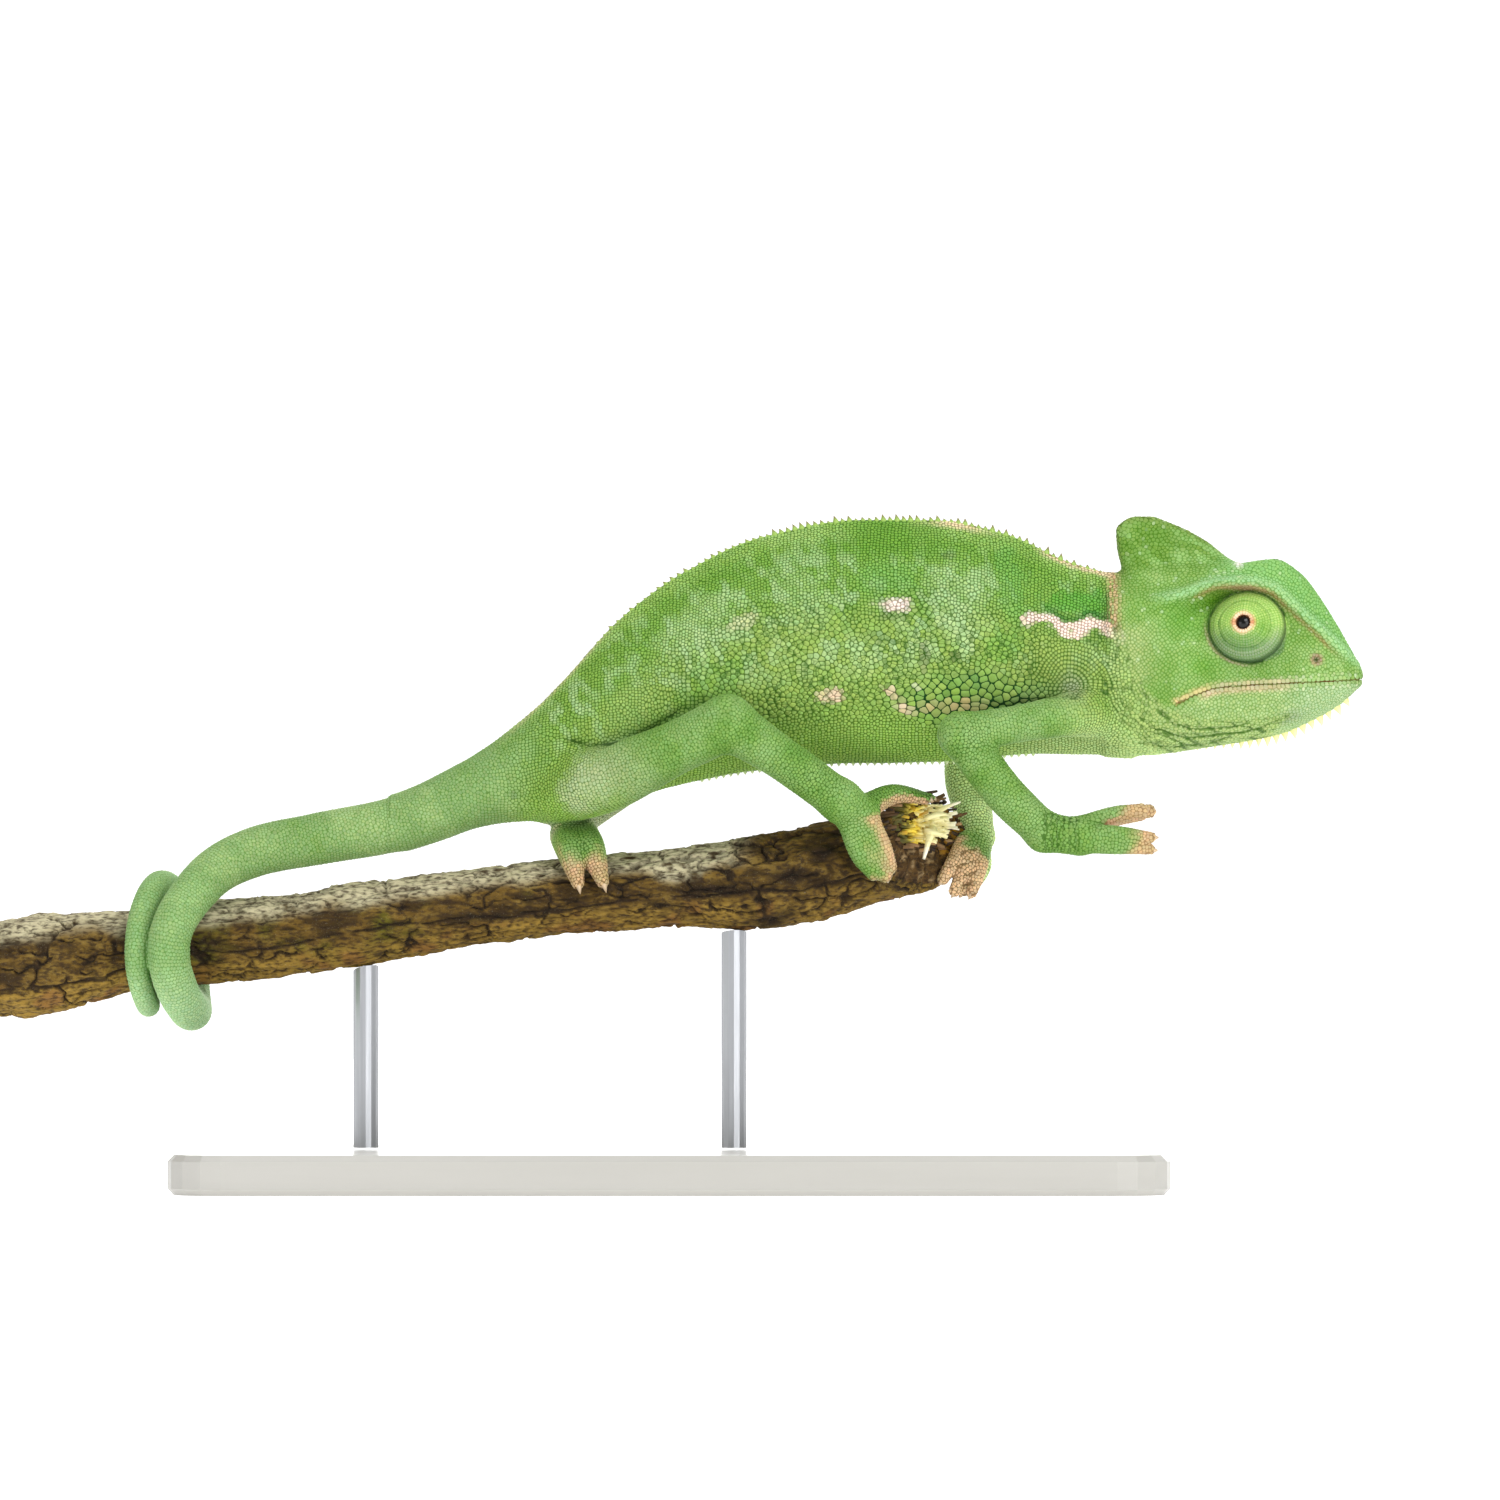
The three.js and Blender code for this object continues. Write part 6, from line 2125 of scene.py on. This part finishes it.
@dataclass
class Branch:
    """The cut length of branch: cracked bark, and torn wood at its free end."""

    break_x: float = 31.5
    break_y: float = -0.5
    lean: float = 52.0
    core_z: float = 45.9
    core_radius: float = 2.5
    strands: int = 240
    scraps: int = 110  # strands of bark round the core
    hollow_shades: tuple[Station, ...] = (  # painted shade where the bark has hollows on the near side: x, z, length and height
        (15, 39.2, 3.2, 1.3), (5.5, 37.6, 5.5, 0.8), (12.5, 33.8, 3, 1.2), (19, 42.2, 2.2, 0.8),
        (-24, 34.2, 5, 0.7),
    )  # fmt: skip
    bark_rings: tuple[int, int] = (600, 190)
    drawn_out: float = 5.4  # the radius that noise and cracks take the bark to have
    slope: float = 0.13  # how much the branch climbs at its torn end
    splinters: tuple[tuple[Station, ...], ...] = (
        ((33.2, 0.6, 47.2, 0.5), (34.6, 0.2, 47.9, 0.32), (36.3, -0.2, 48.5, 0.12)),
        ((32.9, -0.6, 45.2, 0.6), (32.3, -2.2, 43.6, 0.42), (31.7, -2.9, 41.4, 0.2)),
        ((31.8, -1.5, 46.4, 0.4), (33.6, -1.6, 47.0, 0.35), (34.8, -1.2, 46.9, 0.12)),
        ((31.8, -1.5, 45, 0.4), (33.4, -1.8, 44.6, 0.35), (34.7, -1.4, 44.2, 0.12)),
    )
    z: Profile = Profile(tuple((s[0], s[2]) for s in BRANCH))
    girth: Profile = Profile(tuple((s[0], s[3]) for s in BRANCH))

    @property
    def facing(self) -> Points:
        """The way that the torn end faces."""
        turn = math.radians(-self.lean)
        return np.array([math.cos(turn), math.sin(turn), 0.0])

    def height(self, flat: Points) -> tuple[Points, Points]:
        """How the bark stands out, for places given as x and a point of the unit circle round the branch.

        Returns:
            How far each place stands out, and how far it is in a crack, from 0 to 1.
        """
        x = flat[:, 0]
        size = self.drawn_out
        around, turn = flat * [1, size, size], size * np.arctan2(flat[:, 2], -flat[:, 1])
        slide, shift, where = (noise(around, wave, seed, 3) for wave, seed in ((3.4, 71), (3.4, 72), (8, 74)))
        net = np.stack([x / 8.5 + 0.8 * slide, turn / 2.5 + 0.9 * shift], 1)
        edge, plate = cells(net, 61)
        small_edge, chip = cells(net * [2.4, 2.8] + 0.5 * where[:, None], 64)
        seam_at = -0.42 + 0.5 * noise(around * [1, 0, 0], 15, 68, 3) + 0.12 * shift
        seam = bump(flat[:, 2] - seam_at, 0.045 + 0.03 * slide)
        seam = seam * smooth(0.35, -0.1, flat[:, 1]) * smooth(-0.5, 0, slide)
        cracks = smooth(0.17, 0.03, edge) * smooth(-0.35, 0.15, shift)
        cracks = np.maximum(cracks, 0.5 * smooth(0.15, 0.03, small_edge) * smooth(0, 0.4, where))
        long = noise(around * [0.1, 1, 1], 1.5, 75, 2)
        cracks = np.maximum(cracks, 0.7 * bump(long, 0.05) * smooth(-0.2, 0.3, slide))
        cracks = np.maximum(cracks, seam)
        fibre = noise(around * [0.2, 1, 1], 0.6, 67, 3) + 0.6 * noise(around, 0.9, 69, 2)
        knot = np.hypot((x - 18.5) / 2.2, turn / 2.0)
        lift = 0.36 * (plate - 0.5) + 0.1 * (chip - 0.5) + 0.26 * fibre + 0.4 * slide - 0.45 * cracks
        return lift + 0.35 * np.cos(knot * 4.5) * smooth(2.2, 1.2, knot), cracks

    def build(self) -> None:
        """Makes the bark and the torn end."""
        rings, sides = self.bark_rings
        limb = Limb(BRANCH, rounded=False, inset=0.25)
        middle, across, side, _, radius = limb.frames(np.linspace(0, 1, rings))
        circle = spokes(np.array([1, 0]), np.array([0, 1]), turns(sides))[None].repeat(rings, 0)
        flat = np.concatenate([middle[:, None, :1].repeat(sides, 1), circle], 2).reshape(-1, 3)
        lift, cracks = self.height(flat)
        reach = radius[:, None] + np.clip(lift, -0.9, 0.55).reshape(rings, sides) - 0.1
        bark = middle[:, None] + spokes(across, side, turns(sides)) * reach[..., None]
        bark, face = self.torn(bark, flat.reshape(rings, sides, 3))
        shell = Shell.loft(np.concatenate([bark, face]))
        mesh = shell.mesh("bark")
        after = len(shell.points) - len(lift)
        lift, cracks, torn = (
            np.append(a, np.full(after, b)) for a, b in ((lift, 0), (cracks, 0), (0 * lift, 1))
        )
        torn[-2] = 0
        paint(mesh, "tone", self.tones(shell.points, lift, cracks, torn))
        place("bark", mesh, BARK_FINISH.material(), "bark", ["branch"])
        self.wood()

    def torn(self, bark: Points, flat: Points) -> tuple[Points, Points]:
        """Breaks the branch off.

        Args:
            bark: The rings of the bark.
            flat: Where each of their points is, as height() takes it.

        Returns:
            The rings, with all that lies beyond the break slid back onto it, and more rings that go in from
            their rim over the torn face and down into the hollow that holds the core.
        """
        around = flat.reshape(-1, 3) * [0.0, self.drawn_out, self.drawn_out]
        ragged = 0.6 * noise(around, 1.3, 81).reshape(bark.shape[:2])
        beyond = (bark - [self.break_x, self.break_y, 0]) @ self.facing - ragged
        back = np.maximum(beyond, 0) / self.facing[0]
        bark = bark - vectors(back, 0, self.slope * back)
        rim, middle = bark[-1], bark[-1].mean(0)
        upwards = np.array([0, 0, self.core_z - middle[2]])
        face = []
        for share in np.linspace(0.02, 1, 16):
            ring = middle + upwards * share + (rim - middle) * (1 - 0.45 * share)
            strands = noise(ring * [0.5, 1, 0.6], 0.55, 83, 3) * smooth(0, 0.2, share)
            face.append(ring + np.array([1, 0, self.slope]) * (0.9 * strands - 0.5 * share)[:, None])
        floor = face[-1].mean(0)
        face += [
            floor + (face[-1] - floor) * share - [depth, 0, 0] for share, depth in ((0.93, 2.2), (0.1, 2.6))
        ]
        return bark, np.array(face)

    def tones(self, points: Points, lift: Points, cracks: Points, torn: Points) -> Points:
        """The bark's colours, pale on top by a painted highlight, dark on the sides and ochre below, with
        painted shade in its hollows, and brown on the torn face, painted near-black deep in it.
        """
        x, y, z = points.T
        level = (z - self.z(x)) / self.girth(x)
        broad, middle, fine = (noise(points, size, seed, 2) for size, seed in ((9, 91), (3, 93), (0.8, 95)))
        streaks = noise(points * [0.3, 1, 1], 0.8, 97, 3)
        wash = Wash("755a22", len(points))
        wash.lay("33240c", smooth(-0.05, 0.4, streaks + 0.5 * middle) * 0.8)
        wash.lay("94793a", smooth(0.05, 0.5, -streaks + 0.4 * fine) * 0.6)
        moss = smooth(0.05, 0.4, broad + 0.4 * middle) * smooth(15, -30, x) * smooth(0.7, 0.2, level)
        wash.lay("6f6a17", moss * 0.75)
        under = smooth(-0.3, -0.6, level + 0.2 * broad)
        wash.lay("ab8a3c", under * (0.8 + 0.4 * streaks))
        wash.lay("8a5630", under * smooth(0.1, 0.45, middle) * 0.55)
        # top is a painted highlight: the bark's top is painted pale, and its cracks and low places less dark
        # there
        top = smooth(0.3, 0.75, level + 0.35 * broad + 0.15 * middle + 0.4 * bump(x, 5))
        top = top * smooth(13, 5, x + 4 * broad)
        wash.lay("dcd4b2", top * smooth(0.8, 0.2, streaks - 0.4 * fine) * 0.95)
        wash.lay("1f1505", smooth(22, 27, x) * smooth(0.75, 0.2, level) * smooth(-1.1, -0.6, level) * 0.6)
        wash.lay("2b1d0b", smooth(-0.05, -0.6, lift + 0.25 * fine) * (0.8 - 0.6 * top))
        wash.lay("1b1208", smooth(0.3, 0.8, cracks) * (0.85 - 0.4 * top))
        # painted shade: near-black patches where the bark has hollows on the near side
        for px, pz, length, height in self.hollow_shades:
            away = np.hypot((x - px) / length, (z - pz) / height) + 0.4 * middle + 0.3 * fine
            wash.lay("160d05", bump(away, 1) * (y < 0) * 0.95)
        strands = noise(points * [0.4, 1, 0.5], 0.45, 99, 3)
        face = Wash("634823", len(points)).lay("2c1d0e", smooth(0, 0.4, strands))
        face.lay("a88d66", smooth(0.1, 0.5, -strands))
        face.lay("c08c22", smooth(33, 34.2, x) * smooth(41, 42.5, z) * smooth(0.4, -0.2, strands))
        # deep: the hollow that holds the core is painted near-black, as painted shade
        deep = (x - self.break_x) * self.facing[0] + (y - self.break_y) * self.facing[1] < -1.6
        return wash.lay(face.lay("0d0904", deep * 1.0).rgb, torn).rgb * [0.78, 0.77, 0.72]

    def wood(self) -> None:
        """The torn core: broken strands of pale wood, brightest where they stand out and darker with painted
        shade where they sit back in the hollow, and long splinters.
        """
        random = np.random.default_rng(19)
        strands = []
        for i in range(self.strands + self.scraps):
            share = math.sqrt(random.uniform()) if i < self.strands else random.uniform(1.05, 1.45)
            out, turn = share * self.core_radius, random.uniform(0, 2 * math.pi)
            y, z = self.break_y + out * math.cos(turn) * 1.15, self.core_z + out * math.sin(turn)
            x = self.break_x + (y - self.break_y) * math.tan(math.radians(self.lean))
            length, thick = random.uniform(-0.9, 1.3) - max(share - 1, 0), random.uniform(0.16, 0.36)
            bend, way = random.normal(0, 0.3, 2), random.normal(0, 0.12, 2)
            stations = (
                (x - 2.6, y, z, thick),
                (x - 0.8, y + way[0], z + way[1], thick),
                (x + length, y + bend[0], z + bend[1], thick * 0.7),
            )
            strands.append(Limb(stations, inset=0, rounded=False).shell(6, 6))
        strands += [Limb(path, inset=0, rounded=False).shell(6, 6) for path in self.splinters]
        shell = Shell.joined(strands)
        mesh = shell.mesh("torn_wood")
        x, _, z = shell.points.T
        each = len(strands[0].points)
        tint = np.repeat(random.uniform(-1, 1, len(strands)), each)
        number = np.arange(len(x)) // each
        scrap = (number >= self.strands) & (number < self.strands + self.scraps)
        wash = Wash("f8dc4c", len(x)).lay("c8981c", smooth(0.3, 0.9, tint))
        # strands that sit back in the hollow at the left are painted dark olive: painted shade
        wash.lay("4c4a10", smooth(30.4, 28.8, x + 0.8 * tint))
        wash.lay("fff6ba", smooth(30.8, 32.4, x - 0.9 * tint))
        wash.lay("fff8dc", smooth(43.2, 42.4, z) + smooth(34.6, 35.4, x))
        bark = Wash("5a3f1d", len(x)).lay("2a1b0c", smooth(0, 0.6, tint))
        bark.lay("a8845a", smooth(-0.4, -0.9, tint))
        wash.lay(bark.rgb, scrap * 1.0)
        paint(mesh, "tone", wash.rgb)
        place("torn_wood", mesh, WOOD_FINISH.material(), "bark")


# ---------------------------------------------------------------- stand and studio


class Stand:
    """The display stand, whose shapes are the frame's own."""

    def dress(self) -> None:
        """Gives the base and the rods their finishes."""
        finishes = {"stand_base": STAND_FINISH.material()}
        rod = ROD_FINISH.material()
        finishes |= {name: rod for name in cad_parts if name.startswith("stand_rod")}
        for name, finish in finishes.items():
            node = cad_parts[name]
            node.data.materials.clear()
            node.data.materials.append(finish)
            for slot in node.material_slots:
                slot.material = finish
            log.info("%s: dressed", name)


@dataclass(frozen=True)
class Studio:
    """A pale sweep, soft lights and the camera."""

    view_width: float = 187.5
    distance: float = 2200.0
    centre_x: float = 10.0
    eye_height: float = 55.0
    sensor: float = 36.0
    aim: Colour = (0.01, 0, 0.05)  # what the lights face, in metres
    lights: tuple[tuple[str, Colour, float, float], ...] = (  # name, place and side in metres, and watts
        ("key", (0.3, -0.65, 0.75), 0.5, 4.9),
        ("fill", (-0.85, -0.6, 0.15), 0.6, 2.5),
        ("low", (0.55, -0.85, 0.25), 0.5, 2.6),
        ("top", (0.0, 0.15, 0.9), 0.7, 3.8),
        ("back", (0.15, 0.8, 0.3), 0.6, 3.5),
    )
    sky: float = 0.39

    def sweep(self) -> None:
        """A floor that curves up into a backdrop behind the object."""
        start, bend, top, half = 3.4, 0.8, 5.0, 5.0
        turn = np.linspace(0, math.pi / 2, 24)
        curve = [(start + bend * math.sin(a), bend * (1 - math.cos(a))) for a in turn]
        line = [(-4.5, 0.0), *curve, (start + bend, top)]
        points = np.array([(x, y, z) for y, z in line for x in (-half, half)]) / MM
        count = len(line) - 1
        quads = np.array([(2 * i, 2 * i + 1, 2 * i + 3, 2 * i + 2) for i in range(count)])
        mesh = Shell(points, quads).mesh("sweep")
        kit = NodeKit("sweep_finish", 0.85)
        kit.feed("Base Color", (0.93, 0.93, 0.93, 1.0))
        kit.feed("Emission Color", (1.0, 1.0, 1.0, 1.0))
        kit.feed("Emission Strength", 0.6)
        mesh.materials.append(kit.material)
        floor = bpy.data.objects.new("sweep", mesh)
        bpy.context.scene.collection.objects.link(floor)

    def light(self, name: str, at: Sequence[float], size: float, power: float) -> None:
        """A soft square light that faces the animal.

        Args:
            name: The light's name.
            at: Where it is, in metres.
            size: Its side, in metres.
            power: Its strength, in watts.
        """
        lamp = bpy.data.lights.new(name, "AREA")
        lamp.energy, lamp.size = power, size
        made = bpy.data.objects.new(name, lamp)
        made.location = at
        made.rotation_euler = (Vector(self.aim) - Vector(at)).to_track_quat("-Z", "Y").to_euler()
        bpy.context.scene.collection.objects.link(made)

    def build(self) -> None:
        """Makes the sweep, the lights, the sky and the camera."""
        self.sweep()
        for light in self.lights:
            self.light(*light)
        world = bpy.data.worlds.new("studio")
        bpy.context.scene.world = world
        world.use_nodes = True
        world.node_tree.nodes["Background"].inputs["Color"].default_value = (1.0, 1.0, 1.0, 1.0)
        world.node_tree.nodes["Background"].inputs["Strength"].default_value = self.sky
        camera = bpy.data.cameras.new("camera")
        camera.sensor_width = self.sensor
        camera.lens = self.sensor * self.distance / self.view_width
        camera.clip_start, camera.clip_end = 0.05, 20
        made = bpy.data.objects.new("camera", camera)
        made.location = (self.centre_x * MM, -self.distance * MM, self.eye_height * MM)
        made.rotation_euler = (math.pi / 2, 0, 0)
        bpy.context.scene.collection.objects.link(made)
        bpy.context.scene.camera = made
        bpy.context.scene.view_settings.view_transform = "Standard"


def main() -> None:
    """Builds the model and reports each piece."""
    logging.basicConfig(level=logging.INFO, format="%(relativeCreated)7d ms %(message)s")
    Studio().build()
    Animal().build()
    Branch().build()
    Stand().dress()


if __name__ == "__main__":
    main()
